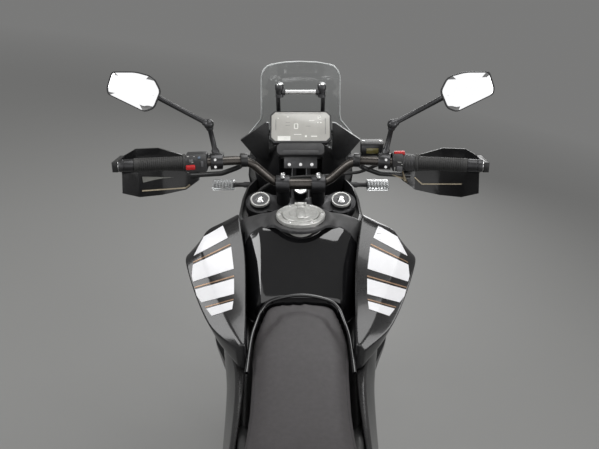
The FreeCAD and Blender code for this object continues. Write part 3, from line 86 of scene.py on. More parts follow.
def added(tree, kind, operation="", values=None):
    # a new node with its operation and its own values set
    node = tree.nodes.new(kind)
    if operation:
        node.operation = operation
    for socket_name, value in (values or {}).items():
        node.inputs[socket_name].default_value = value
    return node


def wired(tree, *links):
    # each link: a node, its output, the node it feeds and that node's input
    for giver, given_output, taker, taken_input in links:
        tree.links.new(giver.outputs[given_output], taker.inputs[taken_input])


def seen_rays(tree):
    # one for what the camera, gloss and glass see, and nothing for what lights the object
    ray = tree.nodes.new("ShaderNodeLightPath")
    camera_or_gloss = added(tree, "ShaderNodeMath", "MAXIMUM")
    or_glass = added(tree, "ShaderNodeMath", "MAXIMUM")
    wired(tree, (ray, "Is Camera Ray", camera_or_gloss, 0), (ray, "Is Glossy Ray", camera_or_gloss, 1),
          (camera_or_gloss, 0, or_glass, 0), (ray, "Is Transmission Ray", or_glass, 1))
    return or_glass


floor_radius = 40.0
floor_colour = (0.24, 0.24, 0.235)
floor_fade_start = 2.5
floor_fade_end = 8.0
backdrop_colour = (0.80, 0.80, 0.79)
backdrop_strength = 0.24
floor_mesh = bpy.data.meshes.new("floor")
floor_shape = bmesh.new()
bmesh.ops.create_circle(floor_shape, cap_ends=True, radius=floor_radius, segments=64)
floor_shape.to_mesh(floor_mesh)
floor_shape.free()
floor = placed("floor", floor_mesh)
floor_material = bpy.data.materials.new("floor")
floor_material.use_nodes = True
floor_tree = floor_material.node_tree
floor_shader = floor_tree.nodes["Principled BSDF"]
floor_shader.inputs["Base Color"].default_value = (*floor_colour, 1)
floor_shader.inputs["Roughness"].default_value = 0.7
floor_distance = added(floor_tree, "ShaderNodeVectorMath", "LENGTH")
floor_fade = added(floor_tree, "ShaderNodeMapRange", "",
                   {"From Min": floor_fade_start, "From Max": floor_fade_end})
floor_seen = seen_rays(floor_tree)
floor_share = added(floor_tree, "ShaderNodeMath", "MULTIPLY")
floor_far = added(floor_tree, "ShaderNodeEmission", "",
                  {"Color": (*backdrop_colour, 1), "Strength": backdrop_strength})
floor_mix = floor_tree.nodes.new("ShaderNodeMixShader")
floor_place = floor_tree.nodes.new("ShaderNodeTexCoord")
floor_out = floor_tree.nodes["Material Output"]
wired(floor_tree, (floor_place, "Object", floor_distance, 0),
      (floor_distance, "Value", floor_fade, "Value"), (floor_fade, "Result", floor_share, 0),
      (floor_seen, 0, floor_share, 1), (floor_share, 0, floor_mix, 0), (floor_shader, 0, floor_mix, 1),
      (floor_far, 0, floor_mix, 2), (floor_mix, 0, floor_out, "Surface"))
floor_mesh.materials.append(floor_material)

# lamp: name, place, what it faces, side length in metres, watts
lamps = (
    ("overhead", (0.2, 0.4, 3.6), (0, 0.2, 0.8), 2.2, 55.0),
    ("left_softbox", (-3.2, -0.8, 2.4), (0, 0, 0.8), 2.0, 60.0),
    ("right_softbox", (3.2, -1.2, 2.2), (0, 0, 0.8), 2.0, 50.0),
    ("front_softbox", (0.6, 4.2, 2.0), (0, 0.3, 0.8), 2.0, 45.0),
)
for lamp_name, lamp_place, lamp_target, lamp_side, lamp_watts in lamps:
    lamp = placed(lamp_name, bpy.data.lights.new(lamp_name, "AREA"))
    lamp.data.energy = lamp_watts
    lamp.data.size = lamp_side
    lamp.location = lamp_place
    facing = Vector(lamp_target) - Vector(lamp_place)
    lamp.rotation_euler = facing.to_track_quat("-Z", "Y").to_euler()

# A wide softbox behind the photographer, where the mirrors look
mirror_lamp = placed("mirror_softbox", bpy.data.lights.new("mirror_softbox", "AREA"))
mirror_lamp.data.shape = "RECTANGLE"
mirror_lamp.data.size = 14.0
mirror_lamp.data.size_y = 3.8
mirror_lamp.data.energy = 150.0
mirror_lamp.visible_diffuse = False
mirror_lamp.location = machine @ Vector((0, -3000, 2230))
to_mirrors = machine @ Vector((0, 1062, 1352)) - mirror_lamp.location
mirror_lamp.rotation_euler = to_mirrors.to_track_quat("-Z", "Y").to_euler()

# Grey surroundings: what lights the object is brighter than what the camera, gloss and glass see
world = bpy.data.worlds.new("studio")
bpy.context.scene.world = world
world.use_nodes = True
sky = world.node_tree
sky.nodes.clear()
seen = added(sky, "ShaderNodeBackground", "",
             {"Color": (*backdrop_colour, 1), "Strength": backdrop_strength})
fill_strength = 0.45
lit_by = added(sky, "ShaderNodeBackground", "", {"Color": (*backdrop_colour, 1), "Strength": fill_strength})
sky_seen = seen_rays(sky)
choose = sky.nodes.new("ShaderNodeMixShader")
sky_out = sky.nodes.new("ShaderNodeOutputWorld")
wired(sky, (sky_seen, 0, choose, 0), (lit_by, 0, choose, 1), (seen, 0, choose, 2),
      (choose, 0, sky_out, "Surface"))
bpy.context.scene.view_settings.view_transform = "Standard"

# Mesh tools for bodywork, first used by the tank. A part is (vertices, faces) in the machine's own
# millimetres; piece() turns a part into an object in the frame, riding on its body.
def together(*parts):
    vertices, faces = [], []
    for part_vertices, part_faces in parts:
        first = len(vertices)
        vertices += [Vector(vertex) for vertex in part_vertices]
        faces += [tuple(index + first for index in face) for face in part_faces]
    return vertices, faces


def flipped(part):
    vertices, faces = part
    return [Vector((-v[0], v[1], v[2])) for v in vertices], [tuple(reversed(face)) for face in faces]


def both_sides(part):
    return together(part, flipped(part))


def shape_of(part):
    shape = bmesh.new()
    vertices = [shape.verts.new(vertex) for vertex in part[0]]
    for face in part[1]:
        if len(set(face)) > 2:
            shape.faces.new([vertices[index] for index in face])
    return shape


def part_of(shape):
    shape.verts.index_update()
    faces = [tuple(vertex.index for vertex in face.verts) for face in shape.faces]
    part = [vertex.co.copy() for vertex in shape.verts], faces
    shape.free()
    return part


def eased(part, width, steps=2, angle=30):
    # every edge sharper than the angle is rounded
    shape = shape_of(part)
    bmesh.ops.remove_doubles(shape, verts=shape.verts, dist=0.01)
    bmesh.ops.recalc_face_normals(shape, faces=shape.faces)
    sharp = [edge for edge in shape.edges
             if len(edge.link_faces) == 2 and edge.calc_face_angle(0) > math.radians(angle)]
    bmesh.ops.bevel(shape, geom=sharp, offset=width, segments=steps, profile=0.5, affect="EDGES",
                    clamp_overlap=True)
    return part_of(shape)


def object_of(name, mesh, material, body, replaced=(), smooth=38):
    mesh.materials.clear()
    mesh.materials.append(material)
    mesh.shade_smooth()
    mesh.set_sharp_from_angle(angle=math.radians(smooth))
    made = placed(name, mesh)
    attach(made, body)
    if replaced:
        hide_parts(*replaced)
    return made


def mesh_of(name, part):
    # the part as a mesh, with doubled points joined and its faces turned outward
    shape = shape_of(part)
    bmesh.ops.remove_doubles(shape, verts=shape.verts, dist=0.01)
    bmesh.ops.recalc_face_normals(shape, faces=shape.faces)
    return mesh_from(name, shape)


def mesh_from(name, shape):
    mesh = bpy.data.meshes.new(name)
    shape.to_mesh(mesh)
    shape.free()
    return mesh


def evaluated_mesh(holder):
    # the object's mesh with its modifiers carried out
    bpy.context.view_layer.update()
    return bpy.data.meshes.new_from_object(holder.evaluated_get(bpy.context.evaluated_depsgraph_get()))


def piece(name, part, material, body, replaced=(), smooth=38):
    mesh = mesh_of(name, part)
    mesh.transform(machine)
    return object_of(name, mesh, material, body, replaced, smooth)


def softened(node, name, material, body, width=1.2, steps=2, angle=32):
    # a copy of a CAD node with its flat faces whole again and its sharp edges rounded, in millimetres
    shape = bmesh.new()
    shape.from_mesh(frame["nodes"][node].data)
    bmesh.ops.remove_doubles(shape, verts=shape.verts, dist=2e-5)
    bmesh.ops.dissolve_limit(shape, angle_limit=math.radians(1.0), verts=shape.verts, edges=shape.edges)
    sharp = [edge for edge in shape.edges
             if len(edge.link_faces) == 2 and edge.calc_face_angle(0) > math.radians(angle)
             and edge.calc_length() > width / 2000]
    bmesh.ops.bevel(shape, geom=sharp, offset=width / 1000, segments=steps, profile=0.5, affect="EDGES",
                    clamp_overlap=True)
    return object_of(name, mesh_from(name, shape), material, body, (node,))


def between_stations(stations, y):
    # the outline at y, smooth through the stations (y, ((x, z), ...))
    places = [station[0] for station in stations]
    count = len(stations[0][1])
    index = max(i for i in range(len(places) - 1) if places[i] <= y + 1e-6 or i == 0)
    span = places[index + 1] - places[index]
    t = min(max((y - places[index]) / span, 0.0), 1.0)
    outline = []
    for corner in range(count):
        points = [Vector(station[1][corner]) for station in stations]

        def slope(i):
            low, high = max(i - 1, 0), min(i + 1, len(points) - 1)
            return (points[high] - points[low]) / (places[high] - places[low])

        a, b = points[index], points[index + 1]
        start, end = slope(index) * span, slope(index + 1) * span
        outline.append(a * (2 * t**3 - 3 * t**2 + 1) + start * (t**3 - 2 * t**2 + t)
                       + b * (3 * t**2 - 2 * t**3) + end * (t**3 - t**2))
    return outline


def rounded(outline, radii, steps=4):
    # a closed outline of 2-D points with each corner rounded by its own radius
    points = []
    count = len(outline)
    for index in range(count):
        before, corner, after = outline[index - 1], outline[index], outline[(index + 1) % count]
        radius = radii[index] if hasattr(radii, "__len__") else radii
        reach_back = min(radius, (before - corner).length * 0.48)
        reach_on = min(radius, (after - corner).length * 0.48)
        first = corner + (before - corner).normalized() * reach_back
        last = corner + (after - corner).normalized() * reach_on
        for step in range(steps + 1):
            t = step / steps
            points.append(first * (1 - t) ** 2 + corner * 2 * t * (1 - t) + last * t**2)
    return points


def rings_joined(rings, closed_ends=True):
    vertices = [point for ring in rings for point in ring]
    count = len(rings[0])
    faces = []
    for ring in range(len(rings) - 1):
        for index in range(count):
            after = (index + 1) % count
            faces.append((ring * count + index, ring * count + after, (ring + 1) * count + after,
                          (ring + 1) * count + index))
    if closed_ends:
        faces.append(tuple(range(count)))
        faces.append(tuple(range((len(rings) - 1) * count, len(rings) * count)))
    return vertices, faces


def skin(stations, radii, step=12.0, end_radius=(6.0, 6.0), corner_steps=4):
    # smooth bodywork through the stations, with rounded corners and rounded ends
    low, high = stations[0][0], stations[-1][0]
    count = max(int((high - low) / step), 2)
    inner_low, inner_high = low + end_radius[0], high - end_radius[1]
    places = [(low + end_radius[0] * (1 - math.sin(turn)), end_radius[0] * (1 - math.cos(turn)))
              for turn in (math.pi / 2, math.pi / 3, math.pi / 6)]
    places += [(inner_low + (inner_high - inner_low) * i / count, 0.0) for i in range(count + 1)]
    places += [(high - end_radius[1] * (1 - math.sin(turn)), end_radius[1] * (1 - math.cos(turn)))
               for turn in (math.pi / 6, math.pi / 3, math.pi / 2)]
    rings = []
    for y, inset in places:
        outline = rounded(between_stations(stations, y), radii, corner_steps)
        centre = sum(outline, Vector((0, 0))) / len(outline)
        size = sum((point - centre).length for point in outline) / len(outline)
        shrink = 1 - min(inset / size, 0.5)
        rings.append([Vector((centre.x + (p.x - centre.x) * shrink, y, centre.y + (p.y - centre.y)
                              * shrink)) for p in outline])
    return rings_joined(rings)


def smooth_path(points, steps=6):
    # points along a smooth curve through the given ones
    points = [Vector(point) for point in points]
    padded = [points[0] * 2 - points[1]] + points + [points[-1] * 2 - points[-2]]
    path = []
    for index in range(1, len(padded) - 2):
        a, b, c, d = padded[index - 1:index + 3]
        for step in range(steps):
            t = step / steps
            path.append(0.5 * (2 * b + (c - a) * t + (2 * a - 5 * b + 4 * c - d) * t**2
                               + (3 * b - a - 3 * c + d) * t**3))
    return path + [points[-1]]


def swept(path, radius, sides=12, flat=1.0, up=None):
    # a closed bar along a path; flat under 1 thins it along its up direction
    radii = radius if hasattr(radius, "__len__") else [radius] * len(path)
    rings = []
    side = None
    for index, point in enumerate(path):
        direction = (path[min(index + 1, len(path) - 1)] - path[max(index - 1, 0)]).normalized()
        if side is None:
            guide = Vector(up) if up else Vector((0.1, 0.2, 1))
            side = direction.cross(guide).normalized()
        side = (side - direction * side.dot(direction)).normalized()
        over = side.cross(direction)
        rings.append([point + side * radii[index] * math.cos(2 * math.pi * n / sides) + over * radii[index]
                      * flat * math.sin(2 * math.pi * n / sides) for n in range(sides)])
    return rings_joined(rings)


def lathed(profile, foot, axis, sides=32):
    # profile is (distance along the axis, radius) from end to end
    axis = Vector(axis).normalized()
    side = axis.orthogonal().normalized()
    over = axis.cross(side)
    rings = []
    for distance, radius in profile:
        radius = max(radius, 0.01)
        rings.append([Vector(foot) + axis * distance + side * radius * math.cos(2 * math.pi * n / sides)
                      + over * radius * math.sin(2 * math.pi * n / sides) for n in range(sides)])
    return rings_joined(rings)


def pushed(outline, direction):
    # a flat outline of points given thickness along a direction
    top = [Vector(point) for point in outline]
    count = len(top)
    vertices = top + [point + Vector(direction) for point in top]
    faces = [tuple(range(count)), tuple(reversed(range(count, 2 * count)))]
    faces += [(i, (i + 1) % count, (i + 1) % count + count, i + count) for i in range(count)]
    return vertices, faces


def block(centre, size, radius=2.0, turn=None, steps=2):
    # a box with rounded edges, turned about its own centre
    half = Vector(size) / 2
    signs = ((-1, -1), (1, -1), (1, 1), (-1, 1))
    corners = [Vector((sx * half.x, -half.y, sz * half.z)) for sx, sz in signs]
    part = pushed(corners, (0, 2 * half.y, 0))
    vertices, faces = eased(part, radius, steps)
    turn = turn or Matrix.Identity(3)
    return [Vector(centre) + turn @ vertex for vertex in vertices], faces


# Shader groups for effects that several finishes share: moulded or painted grain, worn edges, dust
def new_group(name, inputs, outputs):
    group = bpy.data.node_groups.new(name, "ShaderNodeTree")
    for socket_name, value in inputs:
        socket = group.interface.new_socket(socket_name, in_out="INPUT", socket_type="NodeSocketFloat")
        socket.default_value = value
    for socket_name in outputs:
        group.interface.new_socket(socket_name, in_out="OUTPUT", socket_type="NodeSocketFloat")
    return group, group.nodes.new("NodeGroupInput"), group.nodes.new("NodeGroupOutput")


grain_group, grain_in, grain_out = new_group("surface_grain",
                                             (("Scale", 300.0), ("Low", 0.3), ("High", 0.5)),
                                             ("Value", "Height"))
grain_place = grain_group.nodes.new("ShaderNodeTexCoord")
grain_noise = added(grain_group, "ShaderNodeTexNoise", "", {"Detail": 3.0})
grain_range = added(grain_group, "ShaderNodeMapRange", "", {"From Min": 0.3, "From Max": 0.7})
wired(grain_group, (grain_place, "Object", grain_noise, "Vector"),
      (grain_in, "Scale", grain_noise, "Scale"), (grain_noise, "Fac", grain_range, "Value"),
      (grain_in, "Low", grain_range, "To Min"), (grain_in, "High", grain_range, "To Max"),
      (grain_range, "Result", grain_out, "Value"), (grain_noise, "Fac", grain_out, "Height"))

wear_group, wear_in, wear_out = new_group("edge_wear", (("Amount", 0.3), ("Scale", 60.0)), ("Mask",))
wear_geometry = wear_group.nodes.new("ShaderNodeNewGeometry")
wear_edges = added(wear_group, "ShaderNodeMapRange", "", {"From Min": 0.52, "From Max": 0.62})
wear_place = wear_group.nodes.new("ShaderNodeTexCoord")
wear_noise = wear_group.nodes.new("ShaderNodeTexNoise")
wear_patchy = added(wear_group, "ShaderNodeMath", "MULTIPLY")
wear_amount = added(wear_group, "ShaderNodeMath", "MULTIPLY")
wired(wear_group, (wear_geometry, "Pointiness", wear_edges, "Value"),
      (wear_place, "Object", wear_noise, "Vector"), (wear_in, "Scale", wear_noise, "Scale"),
      (wear_edges, "Result", wear_patchy, 0), (wear_noise, "Fac", wear_patchy, 1),
      (wear_patchy, 0, wear_amount, 0), (wear_in, "Amount", wear_amount, 1),
      (wear_amount, 0, wear_out, "Mask"))

dust_group, dust_in, dust_out = new_group("settled_dust", (("Amount", 0.1), ("Scale", 25.0)), ("Mask",))
dust_geometry = dust_group.nodes.new("ShaderNodeNewGeometry")
dust_split = dust_group.nodes.new("ShaderNodeSeparateXYZ")
dust_level = added(dust_group, "ShaderNodeMapRange", "", {"From Min": 0.2})
dust_place = dust_group.nodes.new("ShaderNodeTexCoord")
dust_noise = added(dust_group, "ShaderNodeTexNoise", "", {"Detail": 6.0})
dust_patchy = added(dust_group, "ShaderNodeMath", "MULTIPLY")
dust_amount = added(dust_group, "ShaderNodeMath", "MULTIPLY")
wired(dust_group, (dust_geometry, "Normal", dust_split, 0), (dust_split, "Z", dust_level, "Value"),
      (dust_place, "Object", dust_noise, "Vector"), (dust_in, "Scale", dust_noise, "Scale"),
      (dust_level, "Result", dust_patchy, 0), (dust_noise, "Fac", dust_patchy, 1),
      (dust_patchy, 0, dust_amount, 0), (dust_in, "Amount", dust_amount, 1),
      (dust_amount, 0, dust_out, "Mask"))


def finish(name, colour, roughness, metallic=0.0, grain=420.0, relief=0.1, spread=0.08, wear=0.0,
           wear_colour=(0.35, 0.35, 0.36), dust=0.05, coat=0.0, tint=0.12):
    # one surface finish: colour varied by grain, paler at worn edges and under dust
    material = bpy.data.materials.new(name)
    material.use_nodes = True
    tree = material.node_tree
    shader = tree.nodes["Principled BSDF"]
    shader.inputs["Metallic"].default_value = metallic
    shader.inputs["Coat Weight"].default_value = coat
    shader.inputs["Coat Roughness"].default_value = 0.04

    def group_node(group, **values):
        node = tree.nodes.new("ShaderNodeGroup")
        node.node_tree = group
        for socket_name, value in values.items():
            node.inputs[socket_name].default_value = value
        return node

    def mixed(factor, below, above):
        node = tree.nodes.new("ShaderNodeMix")
        node.data_type = "RGBA"
        tree.links.new(factor, node.inputs[0])
        for socket, value in ((node.inputs[6], below), (node.inputs[7], above)):
            if hasattr(value, "is_output"):
                tree.links.new(value, socket)
            else:
                socket.default_value = (*value, 1)
        return node.outputs[2]

    rough = group_node(grain_group, Scale=grain, Low=max(roughness - spread, 0.02), High=roughness + spread)
    tree.links.new(rough.outputs["Value"], shader.inputs["Roughness"])
    patches = group_node(grain_group, Scale=grain / 9, Low=0.0, High=1.0)
    dark = tuple(channel * (1 - tint) for channel in colour)
    pale = tuple(min(channel * (1 + tint), 1) for channel in colour)
    result = mixed(patches.outputs["Value"], dark, pale)
    if wear:
        worn = group_node(wear_group, Amount=wear)
        result = mixed(worn.outputs["Mask"], result, wear_colour)
    if dust:
        dusty = group_node(dust_group, Amount=dust)
        result = mixed(dusty.outputs["Mask"], result, (0.30, 0.29, 0.27))
    tree.links.new(result, shader.inputs["Base Color"])
    if relief:
        bump = added(tree, "ShaderNodeBump", "", {"Strength": relief, "Distance": 0.0004})
        wired(tree, (rough, "Height", bump, "Height"), (bump, "Normal", shader, "Normal"))
    return material


# Fuel tank: pressed steel in gloss black. A raised crown runs between two long hollows, and the whole
# is drawn through the tank's cross sections, then bored for the filler.
def half_stations(rows):
    # rows of a half outline, from the foot up to the middle line, made whole by their mirror image
    return [(y, tuple(half) + tuple((-x, z) for x, z in reversed(half[:-1]))) for y, half in rows]


def carved(part, *tools):
    # a closed part with closed tools taken out of it
    made = [placed("carving", mesh_of("carving", solid)) for solid in (part,) + tools]
    for tool in made[1:]:
        cutter = made[0].modifiers.new("carving", "BOOLEAN")
        cutter.operation = "DIFFERENCE"
        cutter.solver = "EXACT"
        cutter.object = tool
    result = evaluated_mesh(made[0])
    vertices = [vertex.co.copy() for vertex in result.vertices]
    faces = [tuple(polygon.vertices) for polygon in result.polygons]
    for solid in made:
        bpy.data.objects.remove(solid)
    return vertices, faces


tank_rows = (
    (822, ((70, 850), (118, 862), (104, 905), (88, 918), (0, 934))),
    (880, ((90, 812), (138, 850), (122, 962), (94, 990), (0, 1002))),
    (930, ((96, 812), (146, 860), (132, 1016), (96, 1044), (0, 1052))),
    (985, ((96, 820), (148, 880), (146, 1052), (100, 1064), (0, 1070))),
    (1018, ((56, 880), (66, 930), (76, 1036), (68, 1056), (0, 1064))),
)
tank_corner_radii = (8, 18, 16, 9, 60, 9, 16, 18, 8)
cap_centre = Vector((0, 958, 1078))
cap_turn = Matrix.Rotation(math.radians(4.0), 3, "X")
cap_axis = cap_turn @ Vector((0, 0, 1))
well_radius = 45.0
gloss_black = finish("gloss_black_paint", (0.006, 0.006, 0.007), 0.07, grain=500.0, relief=0.01,
                     spread=0.02, dust=0.03, coat=1.0, tint=0.05)
tank_skin = skin(half_stations(tank_rows), tank_corner_radii, 8.0, (5.0, 5.0), 5)
well = lathed(((-46, well_radius), (30, well_radius)), cap_centre, cap_axis, 48)
piece("fuel_tank_shell", carved(tank_skin, well), gloss_black, "chassis", ("fuel_tank",))


# Filler: a cast and machined ring on six screws, a matt moulded cover round it, and the hinged lid.
# The cover is laid on the tank and rises to the ring's foot.
def laid(outline, step, place, lift, depth):
    # a thin closed plate over a flat outline, each of its points put on a surface by place(u, v)
    shape = bmesh.new()
    shape.faces.new([shape.verts.new((u, v, 0)) for u, v in outline])
    bmesh.ops.triangulate(shape, faces=shape.faces)
    for axis in (0, 1):
        low = min(point[axis] for point in outline)
        high = max(point[axis] for point in outline)
        normal = Vector((axis == 0, axis == 1, 0))
        for index in range(1, int((high - low) / step) + 1):
            bmesh.ops.bisect_plane(shape, geom=shape.verts[:] + shape.edges[:] + shape.faces[:], dist=1e-4,
                                   plane_co=normal * (low + index * step), plane_no=normal)
    bmesh.ops.remove_doubles(shape, verts=shape.verts, dist=1e-3)
    shape.verts.index_update()
    top, bottom = [], []
    for vertex in shape.verts:
        point, normal = place(vertex.co.x, vertex.co.y)
        top.append(point + normal * lift)
        bottom.append(point - normal * depth)
    count = len(top)
    faces = []
    for face in shape.faces:
        ring = [vertex.index for vertex in face.verts]
        faces.append(tuple(ring))
        faces.append(tuple(index + count for index in reversed(ring)))
    for edge in shape.edges:
        if len(edge.link_faces) == 1:
            a, b = (vertex.index for vertex in edge.verts)
            faces.append((a, b, b + count, a + count))
    shape.free()
    return top + bottom, faces


def surface_of(part):
    triangles = shape_of(part)
    bmesh.ops.recalc_face_normals(triangles, faces=triangles.faces)
    tree = BVHTree.FromBMesh(triangles)
    triangles.free()
    return tree


def arc(centre, radius, first, last, steps):
    # points (x, y) along an arc, its angles in degrees
    return [(centre[0] + radius * math.cos(math.radians(first + (last - first) * i / steps)),
             centre[1] + radius * math.sin(math.radians(first + (last - first) * i / steps)))
            for i in range(steps + 1)]


tank_surface = surface_of(tank_skin)
cover_foot = 1069.0
cover_ring_radius = 59.0
cover_outline = [(146, 926), (146, 982), (132, 1000), (76, 1014), (-76, 1014), (-132, 1000), (-146, 982),
                 (-146, 926), (-118, 938), (-92, 941), (-74, 934), (-62, 922)]
cover_outline += arc((0, 958), 70.0, 215, 325, 14)
cover_outline += [(62, 922), (74, 934), (92, 941), (118, 938)]


def on_tank(x, y):
    hit = tank_surface.ray_cast(Vector((x, y, 1200)), Vector((0, 0, -1)))[0]
    height = hit.z if hit else 1000.0
    distance = math.hypot(x, y - cap_centre.y)
    near = min(max((92.0 - distance) / 24.0, 0.0), 1.0)
    ring_level = cover_foot - (y - cap_centre.y) * math.tan(math.radians(-4.0))
    near = near * near * (3 - 2 * near)
    return Vector((x, y, max(height + 2.5, height + (ring_level - height) * near))), Vector((0, 0, 1))


matt_black = finish("matt_moulded_black", (0.028, 0.028, 0.03), 0.52, grain=900.0, relief=0.35, spread=0.07,
                    dust=0.12, wear=0.25)
cover = laid(cover_outline, 7.0, on_tank, 0.0, 7.0)
cover = carved(cover, lathed(((-60, cover_ring_radius), (60, cover_ring_radius)), cap_centre, cap_axis, 64))
piece("filler_cover", eased(cover, 1.6, 2, 50), matt_black, "chassis")
well_profile = ((-44, 10), (-44, well_radius - 0.5), (-6, well_radius - 0.5), (-6, well_radius + 6),
                (-8, well_radius + 6), (-8, well_radius + 1), (-46, well_radius + 1), (-46, 10))


def hollow_ring(profile, foot, axis, sides=48):
    # a closed outline of (distance along the axis, radius) turned all the way round
    axis = Vector(axis).normalized()
    side = axis.orthogonal().normalized()
    over = axis.cross(side)
    vertices, faces = [], []
    count = len(profile)
    for n in range(sides):
        turn = 2 * math.pi * n / sides
        spoke = side * math.cos(turn) + over * math.sin(turn)
        vertices += [Vector(foot) + axis * distance + spoke * radius for distance, radius in profile]
        after = (n + 1) % sides
        faces += [(n * count + i, n * count + (i + 1) % count, after * count + (i + 1) % count,
                   after * count + i) for i in range(count)]
    return vertices, faces


def copies_tree():
    # copies of one shape on points, each turned as its point says
    tree = bpy.data.node_groups.new("copies_on_points", "GeometryNodeTree")
    for socket_name, socket_type in (("Places", "Geometry"), ("Copied", "Object"), ("Size", "Float"),
                                     ("Finish", "Material")):
        tree.interface.new_socket(socket_name, in_out="INPUT", socket_type="NodeSocket" + socket_type)
    tree.interface.new_socket("Copies", in_out="OUTPUT", socket_type="NodeSocketGeometry")
    given = tree.nodes.new("NodeGroupInput")
    result = tree.nodes.new("NodeGroupOutput")
    copied = tree.nodes.new("GeometryNodeObjectInfo")
    turn = tree.nodes.new("GeometryNodeInputNamedAttribute")
    turn.data_type = "FLOAT_VECTOR"
    turn.inputs["Name"].default_value = "turn"
    to_rotation = tree.nodes.new("FunctionNodeEulerToRotation")
    instances = tree.nodes.new("GeometryNodeInstanceOnPoints")
    real = tree.nodes.new("GeometryNodeRealizeInstances")
    finished = tree.nodes.new("GeometryNodeSetMaterial")
    wired(tree, (given, "Places", instances, "Points"), (given, "Copied", copied, "Object"),
          (copied, "Geometry", instances, "Instance"), (turn, "Attribute", to_rotation, 0),
          (to_rotation, 0, instances, "Rotation"), (given, "Size", instances, "Scale"),
          (instances, "Instances", real, "Geometry"), (real, "Geometry", finished, "Geometry"),
          (given, "Finish", finished, "Material"), (finished, "Geometry", result, "Copies"))
    return tree


def socket_ids(tree):
    return {item.name: item.identifier for item in tree.interface.items_tree if item.in_out == "INPUT"}


on_points = copies_tree()


def copies(name, part, places, material, body, size=1.0, replaced=(), smooth=38):
    # places are (point, direction that the part's Z faces) or (point, 3x3 turn)
    shape = shape_of(part)
    bmesh.ops.recalc_face_normals(shape, faces=shape.faces)
    copied = placed(name + "_one", mesh_from(name + "_one", shape))
    points = bpy.data.meshes.new(name + "_places")
    points.from_pydata([Vector(point) for point, facing in places], [], [])
    turns = points.attributes.new("turn", "FLOAT_VECTOR", "POINT")
    for index, (point, facing) in enumerate(places):
        turn = facing if hasattr(facing, "to_euler") else Vector(facing).to_track_quat("Z", "Y")
        turns.data[index].vector = turn.to_euler()
    holder = placed(name + "_places", points)
    tree = holder.modifiers.new("copies", "NODES")
    tree.node_group = on_points
    ids = socket_ids(on_points)
    tree[ids["Copied"]] = copied
    tree[ids["Size"]] = size
    tree[ids["Finish"]] = material
    mesh = evaluated_mesh(holder)
    mesh.transform(machine)
    bpy.data.objects.remove(holder)
    bpy.data.objects.remove(copied)
    return object_of(name, mesh, material, body, replaced, smooth)


def screw_head(radius, height, socket=0.55):
    # a low round head with a six-sided socket, foot at the origin and facing up Z
    sides = 24
    rings = []
    for level, share, corners in ((-1.0, 1.0, 0), (height * 0.7, 1.0, 0), (height, 0.86, 0),
                                  (height, socket, 6), (height * 0.45, socket, 6), (height * 0.4, 0.02, 6)):
        ring = []
        for n in range(sides):
            turn = 2 * math.pi * n / sides
            reach = radius * share
            if corners:
                within = (turn + math.pi / 6) % (math.pi / 3) - math.pi / 6
                reach *= math.cos(math.pi / 6) / math.cos(within)
            ring.append(Vector((reach * math.cos(turn), reach * math.sin(turn), level)))
        rings.append(ring)
    return rings_joined(rings)


cast_silver = finish("machined_cast_silver", (0.60, 0.60, 0.58), 0.42, metallic=0.75, grain=1400.0,
                     relief=0.15, spread=0.1, dust=0.06)
bright_steel = finish("bright_steel", (0.72, 0.72, 0.72), 0.2, metallic=1.0, grain=800.0, relief=0.05,
                      spread=0.06, dust=0.02)
black_steel = finish("blackened_steel", (0.035, 0.035, 0.037), 0.35, metallic=0.6, grain=700.0, relief=0.1,
                     dust=0.05, wear=0.4)
dark_rubber = finish("dark_rubber", (0.018, 0.018, 0.018), 0.62, grain=800.0, relief=0.4, spread=0.06,
                     dust=0.15)
ring_profile = ((-8.0, 36.5), (-6.5, 36.5), (-6.5, 44.6), (-0.4, 44.6), (0.6, 45.6), (0.6, 46.4),
                (-0.4, 46.9), (-0.4, 54.2), (0.6, 54.8), (0.6, 56.6), (-0.6, 58.0), (-8.0, 58.0))
ring_part = together(hollow_ring(ring_profile, cap_centre, cap_axis, 72),
                     hollow_ring(well_profile, cap_centre, cap_axis, 48))
ears = [block(cap_centre + cap_turn @ Vector((side * 12, 50.0, 2.0)), (5.6, 9.0, 9.0), 1.2, cap_turn)
        for side in (-1, 1)]
piece("filler_ring_cast", together(ring_part, *ears), cast_silver, "chassis", ("filler_ring",))
ring_screws = [(cap_centre + cap_turn @ Vector((51 * math.cos(math.radians(60 * n)),
                                                51 * math.sin(math.radians(60 * n)), -0.4)), cap_axis)
               for n in range(6)]
copies("filler_ring_screws", screw_head(3.6, 2.6), ring_screws, bright_steel, "chassis")
lid_profile = ((-5.5, 1.0), (-5.5, 43.0), (1.4, 43.8), (2.6, 42.6), (3.0, 38.0), (2.2, 35.0), (2.2, 27.0),
               (3.0, 26.0), (3.0, 1.0))
lid_flap = [Vector((x, y, 2.4)) for x, y in ((-10, 22), (-10, -22), (-6, -30), (6, -30), (10, -22),
                                             (10, 22))]
lid_parts = [lathed(lid_profile, cap_centre, cap_axis, 64)]
lid_parts.append(eased(pushed([cap_centre + cap_turn @ point for point in lid_flap], cap_axis * 3.4), 1.2,
                       2))
lid_parts.append(block(cap_centre + cap_turn @ Vector((0, 38, 3.2)), (17.0, 22.0, 4.2), 1.2, cap_turn))
lid_parts.append(lathed(((0, 2.6), (0.2, 3.0), (17.2, 3.0), (17.4, 2.6)), cap_centre + cap_turn
                        @ Vector((-8.7, 50, 4.2)), (1, 0, 0), 16))
piece("filler_lid_cast", together(*lid_parts), cast_silver, "fuel_lid", ("filler_lid",))


